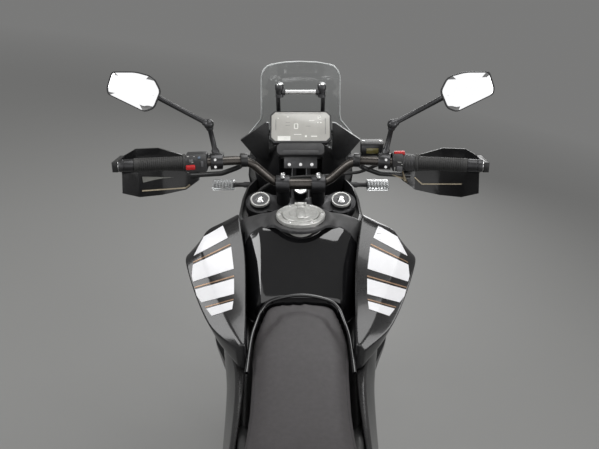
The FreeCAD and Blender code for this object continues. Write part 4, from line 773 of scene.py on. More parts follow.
# Side shrouds, lower cowls and side panels: moulded plastic shells screwed to the tank and frame.
# Each left one is the mirror image of the right one, and the shrouds carry thin printed film.
shroud_rows = (
    (690, ((116, 822), (134, 828), (138, 872), (128, 888), (118, 888))),
    (760, ((120, 828), (184, 850), (206, 900), (168, 922), (120, 922))),
    (871, ((150, 840), (236, 890), (265, 992), (226, 1016), (126, 1000))),
    (940, ((150, 850), (232, 880), (262, 985), (224, 1040), (140, 1052))),
    (985, ((152, 860), (226, 876), (250, 970), (206, 1036), (149, 1068))),
    (1090, ((166, 850), (206, 850), (224, 920), (196, 985), (160, 990))),
    (1180, ((172, 830), (190, 830), (204, 880), (188, 925), (168, 925))),
)
cowl_rows = (
    (880, ((150, 690), (178, 690), (206, 770), (218, 905), (152, 880))),
    (960, ((152, 600), (188, 604), (216, 720), (230, 905), (152, 880))),
    (1060, ((158, 590), (190, 594), (212, 720), (212, 880), (160, 880))),
    (1160, ((166, 680), (182, 684), (194, 760), (194, 860), (168, 860))),
)
side_panel_rows = (
    (330, ((126, 690), (138, 690), (146, 770), (140, 806), (128, 806))),
    (520, ((140, 650), (152, 650), (156, 740), (134, 800), (122, 800))),
    (700, ((142, 680), (156, 680), (164, 760), (142, 826), (120, 820))),
    (800, ((142, 700), (160, 700), (176, 770), (180, 846), (130, 838))),
)
panel_grey = finish("satin_dark_panel", (0.012, 0.012, 0.013), 0.20, grain=900.0, relief=0.08, spread=0.05,
                    dust=0.08, coat=0.25)
cowl_black = finish("satin_black_cowl", (0.013, 0.013, 0.014), 0.30, grain=800.0, relief=0.12, spread=0.05,
                    dust=0.12)
shroud_skin = skin(shroud_rows, (4.0, 12.0, 5.0, 6.0, 6.0), 8.0, (4.0, 4.0), 5)
cowl_skin = skin(cowl_rows, (5.0, 10.0, 14.0, 8.0, 5.0), 10.0, (4.0, 4.0), 4)
side_panel_skin = skin(side_panel_rows, (4.0, 6.0, 9.0, 8.0, 4.0), 14.0, (4.0, 4.0), 4)
for side_name, turned_over in (("right", False), ("left", True)):
    for part_name, part, material, slot_name in (("shroud", shroud_skin, panel_grey, "matte_panel"),
                                                 ("cowl", cowl_skin, cowl_black, "matte_panel"),
                                                 ("side_panel", side_panel_skin, panel_grey,
                                                  "gloss_panel")):
        part = flipped(part) if turned_over else part
        piece(f"{side_name}_{part_name}_shell", part, material, "chassis",
              (f"{side_name}_{part_name}",))


# Printed film on the shrouds: four slanted white bands that grow shorter towards the rear, with
# bronze pinstripes between them. The right side is the left one's mirror image.
def seen_through(u, v):
    # the direction in which the camera sees a point of the picture, in the machine's measures
    aside = (u - picture_centre_x) / focal_pixels
    over = (frame_pixels[1] / 2 - v) / focal_pixels
    level, dip = math.cos(camera_pitch), math.sin(camera_pitch)
    return Vector((aside, level + over * dip, over * level - dip)).normalized()


# how far ahead of the camera each surface lies
shroud_reach, housing_reach, guard_reach = 1500, 1600, 1700


def seen_on(surface, u, v, reach):
    # where the camera's line meets a surface, or past its edge the place nearest to the line's reach
    hit, normal = surface.ray_cast(camera_place, seen_through(u, v))[:2]
    if hit is None:
        hit, normal = surface.find_nearest(camera_place + seen_through(u, v) * reach)[:2]
    return hit, normal


shroud_surface = surface_of(flipped(shroud_skin))


def on_left_shroud(u, v):
    return seen_on(shroud_surface, u, v, shroud_reach)


film_outer = [Vector(point) for point in ((204, 237), (194, 256), (192, 276), (197, 296), (212, 316))]
film_inner = [Vector(point) for point in ((223, 226), (231, 246), (234, 272), (234, 296), (231, 318))]
film_bands = ((0.00, 0.25), (0.36, 0.57), (0.67, 0.83), (0.91, 1.00))
film_stripes = ((0.325, 0.338), (0.637, 0.650), (0.884, 0.895))
film_slant = 0.10


def along_line(line, share):
    place = min(max(share, 0.0), 1.0) * (len(line) - 1)
    index = min(int(place), len(line) - 2)
    return line[index].lerp(line[index + 1], place - index)


def band(first, last):
    outer = [along_line(film_outer, first + (last - first) * i / 6) for i in range(7)]
    inner = [along_line(film_inner, first + (last - first) * i / 6 - film_slant) for i in range(7)]
    return [tuple(point) for point in outer + inner[::-1]]


film_white = finish("white_film", (0.80, 0.80, 0.82), 0.32, grain=600.0, relief=0.02, spread=0.03,
                    dust=0.02, tint=0.02)
film_bronze = finish("bronze_film", (0.30, 0.19, 0.12), 0.35, metallic=0.5, grain=600.0, relief=0.02,
                     dust=0.02)
for film_name, spans, material in (("bands", film_bands, film_white),
                                   ("pinstripes", film_stripes, film_bronze)):
    sheets = together(*[laid(band(*span), 2.0, on_left_shroud, 1.4, 1.0) for span in spans])
    piece(f"left_shroud_{film_name}", sheets, material, "chassis")
    piece(f"right_shroud_{film_name}", flipped(sheets), material, "chassis")


# Seats: moulded foam under grained vinyl, one for the rider and one behind, with a stitched seam along
# each upper edge. The foam swells by a cloth pass, and the seam is drawn in after it.
# seat row: y, half width at the foot, at the upper edge and of the flat, then z of foot, edge and crown
rider_rows = ((812, 60, 84, 50, 884, 912, 926), (744, 96, 114, 70, 838, 868, 886),
              (660, 104, 112, 74, 800, 836, 856), (540, 106, 110, 74, 784, 818, 838),
              (430, 112, 118, 82, 782, 818, 838), (350, 124, 138, 96, 790, 836, 858))
pillion_rows = ((-30, 70, 82, 60, 872, 906, 918), (40, 98, 112, 84, 856, 902, 922),
                (200, 120, 134, 98, 834, 884, 906), (349, 124, 136, 98, 812, 860, 884))
seat_radii = (8, 22, 60, 60, 22, 8)
foam_inset = 0.985
cloth_voxel = 0.006
cloth_pressure = 4.0
cloth_frames = 20
cloth_cap = 0.005
seam_width = 3.4
seam_depth = 1.8


def seat_stations(rows):
    stations = []
    for y, foot, edge, flat, foot_z, edge_z, crown_z in sorted(rows):
        half = ((foot * foam_inset, foot_z), (edge * foam_inset, edge_z), (flat, crown_z - 2))
        stations.append((y, half + tuple((-x, z) for x, z in reversed(half))))
    return stations


def swollen(part, name):
    # the part remeshed in even cells, puffed up like a stuffed cover and smoothed
    mesh = mesh_of(name, part)
    mesh.transform(machine)
    pad = placed(name + "_foam", mesh)
    cells = pad.modifiers.new("cells", "REMESH")
    cells.mode = "VOXEL"
    cells.voxel_size = cloth_voxel
    even = evaluated_mesh(pad)
    pad.modifiers.remove(cells)
    pad.data = even
    rest = [vertex.co.copy() for vertex in even.vertices]
    cloth = pad.modifiers.new("cover", "CLOTH")
    cloth.settings.use_pressure = True
    cloth.settings.uniform_pressure_force = cloth_pressure
    cloth.settings.effector_weights.gravity = 0
    cloth.point_cache.frame_start = 1
    cloth.point_cache.frame_end = cloth_frames
    for frame_number in range(1, cloth_frames + 1):
        bpy.context.scene.frame_set(frame_number)
    puffed = evaluated_mesh(pad)
    moved = [vertex.co.copy() for vertex in puffed.vertices]
    pad.modifiers.remove(cloth)
    bpy.context.scene.frame_set(1)
    for vertex, start, end in zip(even.vertices, rest, moved):
        step = end - start
        if step.length > cloth_cap:
            step = step.normalized() * cloth_cap
        vertex.co = start + step
    fine = pad.modifiers.new("fine", "SUBSURF")
    fine.levels = 1
    fine.render_levels = 1
    result = evaluated_mesh(pad)
    bpy.data.objects.remove(pad)
    return result


def seam_place(rows, y):
    rows = sorted(rows)
    index = max(i for i in range(len(rows) - 1) if rows[i][0] <= y or i == 0)
    share = min(max((y - rows[index][0]) / (rows[index + 1][0] - rows[index][0]), 0.0), 1.0)
    edge = rows[index][2] + (rows[index + 1][2] - rows[index][2]) * share
    return (edge - 7.0, rows[index][5] + (rows[index + 1][5] - rows[index][5]) * share + 3.0)


vinyl = finish("grained_vinyl", (0.048, 0.044, 0.046), 0.55, grain=900.0, relief=0.7, spread=0.05,
               dust=0.03, tint=0.1)
thread = finish("seat_thread", (0.03, 0.03, 0.032), 0.7, grain=2000.0, relief=0.5, dust=0.0)
stitch_pitch = 7.0
for seat_name, rows in (("rider", rider_rows), ("pillion", pillion_rows)):
    cover_mesh = swollen(skin(seat_stations(rows), seat_radii, 8.0, (10.0, 10.0), 5), seat_name
                         + "_seat_cover")
    for vertex in cover_mesh.vertices:
        point = upright @ vertex.co
        seam_x, seam_z = seam_place(rows, point.y)
        distance = math.hypot(abs(point.x) - seam_x, point.z - seam_z)
        draw = seam_depth * math.exp(-(distance / seam_width) ** 2)
        if draw > 0.05:
            inward = Vector((-math.copysign(0.6, point.x), 0, -0.8))
            vertex.co = machine @ (point + inward * draw)
    cover_mesh.name = seat_name + "_seat_cover"
    cushion = object_of(seat_name + "_seat_cover", cover_mesh, vinyl, "chassis",
                        (seat_name + "_seat",), 60)
    cover_surface = BVHTree.FromPolygons([upright @ vertex.co for vertex in cover_mesh.vertices],
                                         [tuple(polygon.vertices) for polygon in cover_mesh.polygons])
    stitches = []
    first, last = sorted(rows)[0][0] + 16, sorted(rows)[-1][0] - 14
    for index in range(int((last - first) / stitch_pitch)):
        y = first + index * stitch_pitch
        seam_x, seam_z = seam_place(rows, y)
        for side in (-1, 1):
            aim = Vector((side * (seam_x - 6.0), y, seam_z + 4.0))
            hit, normal = cover_surface.find_nearest(aim)[:2]
            along = Vector((0, 1, 0))
            over = normal if normal.z > 0 else -normal
            aside = along.cross(over).normalized()
            turn = Matrix((aside, over.cross(aside).normalized(), over)).transposed()
            stitches.append((hit + over * 0.1, turn))
    stitch = block((0, 0, 0), (1.1, 4.2, 1.0), 0.4)
    copies(seat_name + "_seat_stitches", stitch, stitches, thread, "chassis")

# Bead round the seat's nose: a gloss moulding of round section that closes the gap between the tank
# and the seat.
bead_path = [Vector(point) for point in ((-113, 648, 846), (-108, 735, 874), (-98, 778, 892),
                                         (-86, 806, 910), (-62, 819, 924), (0, 825, 933))]
bead_path += [Vector((-point.x, point.y, point.z)) for point in reversed(bead_path[:-1])]
piece("seat_nose_bead", swept(smooth_path(bead_path, 6), 4.2, 12), gloss_black, "chassis")


# Triple clamps: forged alloy in satin black, with the bar's risers and their bolts. The fork's bright
# top caps and the ignition lock stand in the upper one.
rake = math.radians(27.0)
steer_up = Vector((0, -math.sin(rake), math.cos(rake)))
steer_ahead = Vector((0, math.cos(rake), math.sin(rake)))
front_axle_middle = Vector((0, 1505, 348.98))
axle_ahead = 56.0
fork_x = 105.0
fork_ahead = 28.0


def steer_point(x, ahead_by, up_by):
    return front_axle_middle + Vector((x, 0, 0)) + steer_ahead * (ahead_by - axle_ahead) + steer_up * up_by


clamp_black = finish("satin_black_alloy", (0.030, 0.030, 0.032), 0.38, metallic=0.7, grain=900.0,
                     relief=0.2, spread=0.08, dust=0.06, wear=0.35)
softened("triple_clamps", "triple_clamps_forged", clamp_black, "steering", 1.5)
bar_centre = Vector((0, 1090, 1107))
clamp_screws = []
for side in (-1, 1):
    for back in (-11.0, 11.0):
        clamp_screws.append((bar_centre + Vector((side * 45, back, 20.5)), Vector((0, back * 0.03, 1))))
copies("bar_clamp_screws", screw_head(6.4, 5.0), clamp_screws, bright_steel, "steering")
crown_screws = [(steer_point(side * (fork_x - 2), fork_ahead - 40, up), steer_ahead * -1)
                for side in (-1, 1) for up in (785.0, 575.0)]
copies("crown_pinch_screws", screw_head(5.0, 5.0), crown_screws, black_steel, "steering")
cap_profile = ((-3, 25.5), (4.0, 25.5), (6.2, 24.2), (6.2, 21.5), (3.2, 20.0), (3.2, 13.0), (-3, 12.0))
adjuster_profile = ((0, 11.5), (4.5, 11.5), (6.0, 10.2), (9.0, 7.4), (11.0, 5.6), (11.5, 0.5))
for side, side_name in ((-1, "left"), (1, "right")):
    top = steer_point(side * fork_x, fork_ahead, 804.0)
    piece(f"{side_name}_fork_cap", hollow_ring(cap_profile, top, steer_up, 48), cast_silver, "steering")
    piece(f"{side_name}_fork_adjuster", lathed(adjuster_profile, top, steer_up, 24), bright_steel,
          "steering")
    piece(f"{side_name}_fork_cap_well", lathed(((-3, 20.5), (3.4, 20.5)), top, steer_up, 32), black_steel,
          "steering")
key_top = steer_point(0, 52, 822)
key_profile = ((-2, 17.0), (0.5, 17.0), (1.8, 15.5), (1.8, 11.0), (0.6, 10.0), (0.6, 6.0), (2.6, 5.4),
               (2.6, 0.5))
piece("ignition_switch_top", lathed(key_profile, key_top, steer_up, 40), bright_steel, "steering")

# Fork legs: black anodised tubes above and bright sliders below, whose bottoms are cast round the
# front axle.
fork_black = finish("black_anodised_fork", (0.020, 0.020, 0.022), 0.3, metallic=0.7, grain=900.0,
                    relief=0.1, dust=0.06, wear=0.2)
softened("fork_legs", "fork_legs_turned", fork_black, "steering", 1.2)
slider_chrome = finish("polished_slider", (0.62, 0.61, 0.58), 0.12, metallic=1.0, grain=500.0, relief=0.02,
                       spread=0.03, dust=0.04)
slider_tubes = [lathed(((92.0, 20.9), (320.0, 20.9)), steer_point(side * fork_x, fork_ahead, 0), steer_up,
                       40) for side in (-1, 1)]
piece("fork_sliders", together(*slider_tubes), slider_chrome, "steering")
softened("front_axle", "front_axle_turned", cast_silver, "steering", 0.8)

# Handlebar: a tapered alloy tube, anodised black. Its colour is paler and warmer than that black: a
# painted brown-grey sheen. It is bent once on each side and straight from there to its end.
# the black anodising with a painted brown-grey sheen mixed into its colour
bar_black_painted_sheen = finish("bar_black_with_painted_sheen", (0.075, 0.068, 0.062), 0.26, metallic=0.75, grain=900.0,
                   relief=0.08, dust=0.04, wear=0.15)
softened("handlebar", "handlebar_tube", bar_black_painted_sheen, "steering", 0.6)
bar_knee = Vector((130, 1072, 1176))
bar_end = Vector((430, 1006, 1182))


def bar_place(x):
    # a point on the bar's straight outer run, x positive or negative
    point = bar_knee.lerp(bar_end, (abs(x) - bar_knee.x) / (bar_end.x - bar_knee.x))
    return Vector((math.copysign(point.x, x), point.y, point.z))


# Grips: ribbed rubber sleeves with a flange inboard. Turned black weights with bright screws close
# the bar's ends.
grip_span = (278.0, 398.0)
rib_pitch = 4.8
rib_depth = 1.1


def grip_profile(length):
    profile = [(0.0, 14.0), (0.0, 20.5), (1.2, 21.5), (5.8, 21.5), (7.0, 20.5), (7.6, 16.4)]
    place = 11.0
    while place < length - 12:
        profile += [(place, 16.5), (place + rib_pitch * 0.55, 16.5),
                    (place + rib_pitch * 0.65, 16.5 - rib_depth),
                    (place + rib_pitch * 0.9, 16.5 - rib_depth)]
        place += rib_pitch
    return profile + [(length - 8, 16.5), (length - 1, 16.5), (length, 15.4)]


grip_parts, weight_parts, weight_tips = [], [], []
for side in (-1, 1):
    start, end = bar_place(side * grip_span[0]), bar_place(side * grip_span[1])
    length = (end - start).length
    direction = (end - start).normalized()
    grip_parts.append(lathed(grip_profile(length), start, direction, 40))
    tip = bar_place(side * 433)
    reach = (tip - end).length
    weight_parts.append(lathed(((0, 13.0), (1.0, 14.6), (3, 15.0), (reach - 14, 15.0), (reach - 13, 14.2),
                                (reach - 12, 14.2), (reach - 11, 15.0), (reach - 3, 15.0), (reach, 13.0)),
                               end, direction, 40))
    weight_tips.append((tip, direction))
piece("grip_sleeves", together(*grip_parts), dark_rubber, "steering", ("grips",), 30)
piece("bar_end_weights", together(*weight_parts), clamp_black, "steering")
copies("bar_end_screws", screw_head(12.4, 3.0, 0.35), [(tip + d * -1.0, d) for tip, d in weight_tips],
       bright_steel, "steering")

# Switch housings: matt moulded halves clamped on the bar, with buttons that face the rider. A button
# is placed by the point where the camera sees it.
switch_matt = finish("switch_matt_black", (0.016, 0.016, 0.017), 0.5, grain=1300.0, relief=0.3, spread=0.06,
                     dust=0.05, wear=0.2)
red_button = finish("red_button", (0.55, 0.012, 0.014), 0.35, grain=900.0, relief=0.05, dust=0.03,
                    tint=0.06)
grey_button = finish("grey_button", (0.10, 0.10, 0.105), 0.45, grain=900.0, relief=0.1, dust=0.03)
blue_button = finish("blue_grey_button", (0.10, 0.14, 0.20), 0.4, grain=900.0, relief=0.1, dust=0.03)
pale_print = finish("pale_print", (0.62, 0.62, 0.60), 0.5, grain=900.0, relief=0.0, dust=0.0)


def bar_block(side, outer, inner, depth, height):
    # a six-sided housing along the bar, between two distances from the middle
    start, end = bar_place(side * inner), bar_place(side * outer)
    corners = []
    for across_by, up_by in ((-depth, -height * 0.8), (-depth, height * 0.5), (-depth * 0.5, height),
                             (depth * 0.6, height), (depth, height * 0.4), (depth, -height * 0.8)):
        corners.append(start + Vector((0, across_by, up_by)))
    return pushed(corners, end - start)


left_box = eased(bar_block(-1, 276.0, 226.0, 22.0, 24.0), 3.5, 3)
right_box = eased(bar_block(1, 248.0, 222.0, 20.0, 23.0), 3.5, 3)
throttle_box = eased(bar_block(1, 276.0, 249.0, 19.0, 19.0), 3.0, 3)
throttle_ribs = [hollow_ring(((0, 17.0), (0, 19.6), (1.0, 20.2), (3.0, 20.2), (4.0, 19.6), (4.0, 17.0)),
                             bar_place(250.0 + n * 6.5), bar_end - bar_knee, 40) for n in range(4)]
piece("left_switch_housing", left_box, switch_matt, "steering", ("switch_housings",))
piece("right_switch_housing", together(right_box, throttle_box, *throttle_ribs), switch_matt, "steering",
      ("switch_housings",))


def on_face(surface, u, v):
    # a place that the camera sees, and a turn that lays a button flat there
    hit, normal = seen_on(surface, u, v, housing_reach)
    aside = Vector((0, 0, 1)).cross(normal).normalized()
    return hit, Matrix((aside, normal.cross(aside).normalized(), normal)).transposed()


def button(surface, u, v, wide, high, proud, radius=1.2):
    place, turn = on_face(surface, u, v)
    return block(place, (wide, high, proud * 2), min(radius, wide / 3, high / 3, proud * 0.8), turn)


left_face, right_face = surface_of(left_box), surface_of(right_box)
piece("horn_button", button(left_face, 193, 178, 22, 12, 4.0, 2.5), red_button, "steering")
piece("left_grey_buttons", together(button(left_face, 191, 161, 9, 7, 2.5),
                                    button(left_face, 191, 168.5, 16, 6, 3.0),
                                    button(left_face, 202, 164, 6, 14, 2.0)), grey_button, "steering")
piece("left_blue_button", button(left_face, 199, 158, 6, 6, 3.0), blue_button, "steering")
piece("stop_button", button(right_face, 399.5, 153, 11, 26, 4.5, 2.5), red_button, "steering")
piece("starter_button", button(right_face, 399.5, 169, 13, 14, 3.0), grey_button, "steering")
marks = [button(left_face, u, v, wide, high, 0.3, 0.2) for u, v, wide, high in
         ((188, 156.5, 5, 1.4), (194, 156.5, 3, 1.4), (188, 172.5, 4, 1.4), (194.5, 172.5, 6, 1.4))]
piece("left_switch_marks", together(*marks), pale_print, "steering")
marks = [button(right_face, u, v, wide, high, 0.3, 0.2) for u, v, wide, high in
         ((399.5, 162.2, 9, 1.2), (394.8, 169, 1.2, 9), (399.5, 175, 6, 1.2))]
piece("right_switch_marks", together(*marks), pale_print, "steering")

# Hand levers: forged blades on perches, satin black. The right perch carries the front brake's
# reservoir, with a screwed lid and an olive window.
lever_black = finish("lever_satin_black", (0.035, 0.035, 0.037), 0.32, metallic=0.8, grain=900.0,
                     relief=0.1, dust=0.04, wear=0.4)
softened("hand_levers", "hand_lever_set", lever_black, "steering", 1.4)
reservoir_low, reservoir_size = Vector((152, 1098, 1178)), Vector((54, 40, 30))
reservoir_top = reservoir_low + Vector((reservoir_size.x / 2, reservoir_size.y / 2, reservoir_size.z))
piece("reservoir_lid", block(reservoir_top, (57, 43, 5), 2.0), switch_matt, "steering")
copies("reservoir_lid_screws", screw_head(3.4, 1.6),
       [(reservoir_top + Vector((side * 21, 0, 2.6)), (0, 0, 1)) for side in (-1, 1)], bright_steel,
       "steering")
window_olive = finish("fluid_window", (0.16, 0.14, 0.05), 0.1, grain=600.0, relief=0.02, dust=0.02,
                      coat=0.6)
window_foot = reservoir_low + Vector((reservoir_size.x / 2, -0.2, 13))
piece("reservoir_window", block(window_foot, (30, 3, 14), 1.2), window_olive, "steering")
perch_screws = [(bar_place(side * 206) + Vector((0, -18.5, up)), (0, -1, 0.2)) for side in (-1, 1)
                for up in (-8, 10)]
copies("perch_screws", screw_head(3.6, 3.0), perch_screws, bright_steel, "steering")
softened("hoses", "front_brake_hose", dark_rubber, "steering", 0.4)

# Hand guards: moulded blades ahead of the grips on alloy stays. A pale inner patch and thin champagne
# lines are laid on them.
softened("hand_guards", "hand_guard_blades", cowl_black, "steering", 1.6)
guard_mesh = frame["nodes"]["hand_guards"].data
guard_surface = surface_of(([upright @ vertex.co for vertex in guard_mesh.vertices],
                            [tuple(face.vertices) for face in guard_mesh.polygons]))


def on_guards(u, v):
    return seen_on(guard_surface, u, v, guard_reach)


# outlines on the blades as the camera sees them: a pale inner patch and champagne lines
guard_lines = [[(142, 190.2), (186, 187.2), (190, 184.2), (190.6, 185.4), (186.4, 188.4), (142, 191.4)],
               [(402, 177), (407, 183), (406, 183.6), (401.2, 177.8)],
               [(415, 177), (422, 183.4), (462, 183.4), (462, 184.5), (421.6, 184.5), (414, 177.8)]]
champagne = finish("champagne_line", (0.42, 0.36, 0.26), 0.35, metallic=0.4, grain=600.0, relief=0.02,
                   dust=0.02)
patch_grey = finish("guard_patch_grey", (0.22, 0.22, 0.20), 0.4, grain=900.0, relief=0.1, dust=0.03)
piece("hand_guard_lines", together(*[laid(outline, 1.5, on_guards, 2.0, 2.4) for outline in guard_lines]),
      champagne, "steering")
piece("hand_guard_patch", laid([(142, 176.6), (174, 177.2), (158, 179.0), (143, 182.6)], 1.5, on_guards,
                               2.0, 2.4), patch_grey, "steering")

# Mirrors: moulded heads with inset glass that bulges a little. Each stands on a black stem in two
# runs, with a ball joint between them.
mirror_centre = Vector((398.0, 1062.0, 1352.0))
mirror_corners = ((-70, -4), (-54, 30), (-12, 42), (46, 42), (60, 4), (58, -11),
                  (-28, -53), (-52, -44))
mirror_turn = Matrix.Rotation(math.radians(-12.0), 3, "X")
mirror_radii = (9, 14, 14, 8, 7, 7, 9, 9)


def mirror_ring(share, deep):
    outline = rounded([Vector(corner) for corner in mirror_corners], mirror_radii, 5)
    return [mirror_centre + mirror_turn @ Vector((p.x * share, deep, p.y * share)) for p in outline]


mirror_shell = finish("mirror_shell_black", (0.018, 0.018, 0.019), 0.36, grain=900.0, relief=0.15,
                      spread=0.05, dust=0.06)
mirror_glass = finish("mirror_silver", (0.93, 0.93, 0.94), 0.03, metallic=1.0, grain=300.0, relief=0.0,
                      spread=0.01, dust=0.0, tint=0.01)
shell_rings = [mirror_ring(share, deep) for share, deep in ((0.93, 2.6), (0.945, 0.2), (0.985, 0.0),
                                                            (1.0, 1.6), (0.99, 5.0), (0.94, 10.0),
                                                            (0.84, 15.0), (0.6, 18.5), (0.3, 19.5))]
glass_rings = [mirror_ring(share, deep) for share, deep in ((0.935, 1.2), (0.93, 1.0), (0.5, 0.5),
                                                            (0.1, 0.35))]
glass_back = [mirror_ring(0.935, 2.7)]
stem_foot = bar_place(206.0) + Vector((0, 12, 8))
mirror_ball = Vector((222.0, 1072.0, 1266.0))
mirror_socket = mirror_centre + Vector((-50, 9.6, -16))


def ball(centre, radius):
    return lathed([(-radius * math.cos(math.radians(n * 15)), radius * math.sin(math.radians(n * 15)))
                   for n in range(13)], centre, (0, 0, 1), 24)


stem_parts = [lathed(((0, 9.5), (18, 9.5), (22, 6.5), ((mirror_ball - stem_foot).length - 16, 6.0),
                      ((mirror_ball - stem_foot).length - 12, 9.0),
                      ((mirror_ball - stem_foot).length, 9.0)), stem_foot, mirror_ball - stem_foot, 20),
              lathed(((0, 9.0), (12, 9.0), (16, 6.0), ((mirror_socket - mirror_ball).length - 14, 6.0),
                      ((mirror_socket - mirror_ball).length - 8, 9.0),
                      ((mirror_socket - mirror_ball).length, 9.0)), mirror_ball, mirror_socket
                     - mirror_ball, 20), ball(mirror_ball, 12.5), ball(mirror_socket, 12.0)]
piece("mirror_heads", both_sides(rings_joined(shell_rings)), mirror_shell, "steering",
      ("mirrors",))
piece("mirror_glasses", both_sides(rings_joined(glass_back + glass_rings)), mirror_glass, "steering")
piece("mirror_stems", both_sides(together(*stem_parts)), black_steel, "steering")


# Windscreen: clear moulded acrylic 4 mm thick, curved round the dash, with rounded upper corners and
# polished edges. A pale grey rod along the edge is a painted highlight for the light that the clear edge
# catches. It is screwed to the bracket behind it.
screen_rows = ((1158, 1352, 84, 1342, 162, 1296), (1228, 1330, 68, 1320, 108, 1284),
               (1384, 1272, 60, 1264, 104, 1236))
screen_wall = 4.0


def on_screen(across_share, z):
    # the screen's outer face at a share from -1 to 1 of its half width
    rows = screen_rows
    middle = [Vector((0, row[1])) for row in rows]
    bend = [Vector((row[2], row[3])) for row in rows]
    edge = [Vector((row[4], row[5])) for row in rows]

    def at_height(points):
        if z < rows[1][0]:
            low, high, share = 0, 1, (z - rows[0][0]) / (rows[1][0] - rows[0][0])
        else:
            low, high, share = 1, 2, (z - rows[1][0]) / (rows[2][0] - rows[1][0])
        return points[low].lerp(points[high], share)

    m, b, e = at_height(middle), at_height(bend), at_height(edge)
    reach = abs(across_share)
    bend_share = b.x / e.x
    if reach < bend_share:
        point = m.lerp(b, reach / bend_share)
    else:
        point = b.lerp(e, (reach - bend_share) / (1 - bend_share))
    rounder = 3.0 * math.exp(-((reach - bend_share) / 0.16) ** 2) + 2.0 * math.exp(-(reach / 0.3) ** 2)
    return Vector((math.copysign(point.x, across_share), point.y - rounder, z))


def screen_place(s, t):
    share, z = s / 100, t
    point = on_screen(share, z)
    normal = (on_screen(share + 0.02, z) - on_screen(share - 0.02, z)).cross(
        on_screen(share, min(z + 4, 1384)) - on_screen(share, z - 4)).normalized()
    return point, (normal if normal.y > 0 else -normal)


screen_outline = [(-99.5, 1160), (99.5, 1160), (100, 1178), (99.4, 1240), (99, 1340)]
screen_outline += [(99 - 26 * (1 - math.cos(turn)), 1340 + 38 * math.sin(turn))
                   for turn in (0.3, 0.6, 0.9, 1.2, math.pi / 2)]
screen_outline += [(40, 1382), (0, 1383)]
screen_outline += [(-s, t) for s, t in reversed(screen_outline[2:-1])]


def clear_finish(name, colour, transmission, ior, grain, low, high):
    # a clear plastic whose gloss varies with fine smears
    material = bpy.data.materials.new(name)
    material.use_nodes = True
    tree = material.node_tree
    shader = tree.nodes["Principled BSDF"]
    shader.inputs["Base Color"].default_value = (*colour, 1)
    shader.inputs["Transmission Weight"].default_value = transmission
    shader.inputs["IOR"].default_value = ior
    smears = tree.nodes.new("ShaderNodeGroup")
    smears.node_tree = grain_group
    for socket_name, value in (("Scale", grain), ("Low", low), ("High", high)):
        smears.inputs[socket_name].default_value = value
    tree.links.new(smears.outputs["Value"], shader.inputs["Roughness"])
    return material


clear_acrylic = clear_finish("clear_acrylic", (0.93, 0.95, 0.95), 1.0, 1.49, 9.0, 0.0, 0.05)
screen_part = laid(screen_outline, 9.0, screen_place, -0.2, screen_wall - 0.4)
piece("windscreen_pane", screen_part, clear_acrylic, "chassis", ("windscreen",), 50)
# the edge rod is pale grey: a painted highlight on the clear edge, not the acrylic's own colour
edge_painted_highlight = finish("acrylic_edge_painted_highlight", (0.62, 0.64, 0.64), 0.25, grain=300.0, relief=0.0,
                       dust=0.02, coat=0.5)
edge_path = []
for index, (s, t) in enumerate(screen_outline[1:]):
    start, end = Vector((s, t)), Vector(screen_outline[1:][min(index + 1, len(screen_outline) - 2)])
    steps = max(int((end - start).length / 14), 1)
    for step in range(steps):
        point, normal = screen_place(*start.lerp(end, step / steps))
        edge_path.append(point - normal * 1.8)
last, normal = screen_place(*screen_outline[0])
edge_path.append(last - normal * 1.8)
piece("windscreen_edge", swept(edge_path, 2.0, 8), edge_painted_highlight, "chassis")
screen_bolts = []
for share, z in ((-57, 1312), (57, 1312), (-60, 1180), (60, 1180)):
    point, normal = screen_place(share, z)
    screen_bolts.append((point + normal * 0.2, normal))
copies("windscreen_bolts", screw_head(6.0, 3.2), screen_bolts, black_steel, "chassis")

# Screen bracket: two black steel uprights behind the windscreen, with a bright crossbar between
# two clamp knobs that have domed caps.
crossbar_middle = Vector((0, 1262, 1304))
bracket_parts = []
for side in (-1, 1):
    foot, bend, head = (Vector((side * 60, 1298, 1176)), Vector((side * 60, 1292, 1240)),
                        Vector((side * 60, 1262, 1304)))
    bracket_parts.append(swept([foot, foot.lerp(bend, 0.6), bend - Vector((0, -0.5, 8)),
                                bend + Vector((0, -4, 10)), bend.lerp(head, 0.5), head], 5.8, 16))
    bracket_parts.append(lathed(((0, 6.5), (38, 6.5)), head, Vector((0, 38, 8)), 20))
    bracket_parts.append(lathed(((-14, 8.5), (-13, 10.5), (-5, 10.5), (-4, 8.0), (4, 8.0), (5, 11.0),
                                 (9, 11.5), (19, 11.5), (21, 10.0)), Vector((side * 56, 1262, 1304)),
                                (0, 0, 1), 28))
    bracket_parts.append(lathed(((0, 8.0), (1, 9.0), (9, 9.0), (10, 8.0)), Vector((side * 40, 1262, 1304)),
                                (side, 0, 0), 24))
piece("screen_bracket_rods", together(*bracket_parts), black_steel, "chassis", ("screen_bracket",))
piece("screen_crossbar", lathed(((-41, 5.9), (41, 5.9)), crossbar_middle, (1, 0, 0), 28), bright_steel,
      "chassis")
dome_profile = [(0.0, 11.4)] + [(9.0 * math.sin(math.radians(n * 15)),
                                 11.4 * math.cos(math.radians(n * 15))) for n in range(1, 7)]
domes = [lathed(dome_profile, Vector((side * 56, 1262, 1321)), (0, 0, 1), 32) for side in (-1, 1)]
piece("screen_knob_domes", together(*domes), bright_steel, "chassis")

# Dash: a moulded case with a pale lit display under glass, on a lower box. Bars, ticks and a few
# plain numbers are thin plates on the display.
display_centre = Vector((0, 1236, 1216))
dash_turn = Matrix.Rotation(math.radians(-34.0), 3, "X")
dash_facing = dash_turn @ Vector((0, -1, 0))


def on_dash(x, z, out=0.0):
    # a place on the dash's face: x to the right and z up from its middle, out towards the rider
    return display_centre + dash_turn @ Vector((x, -out, z))


def dash_plate(outline, out, deep):
    return pushed([on_dash(x, z, out) for x, z in outline], dash_facing * -deep)


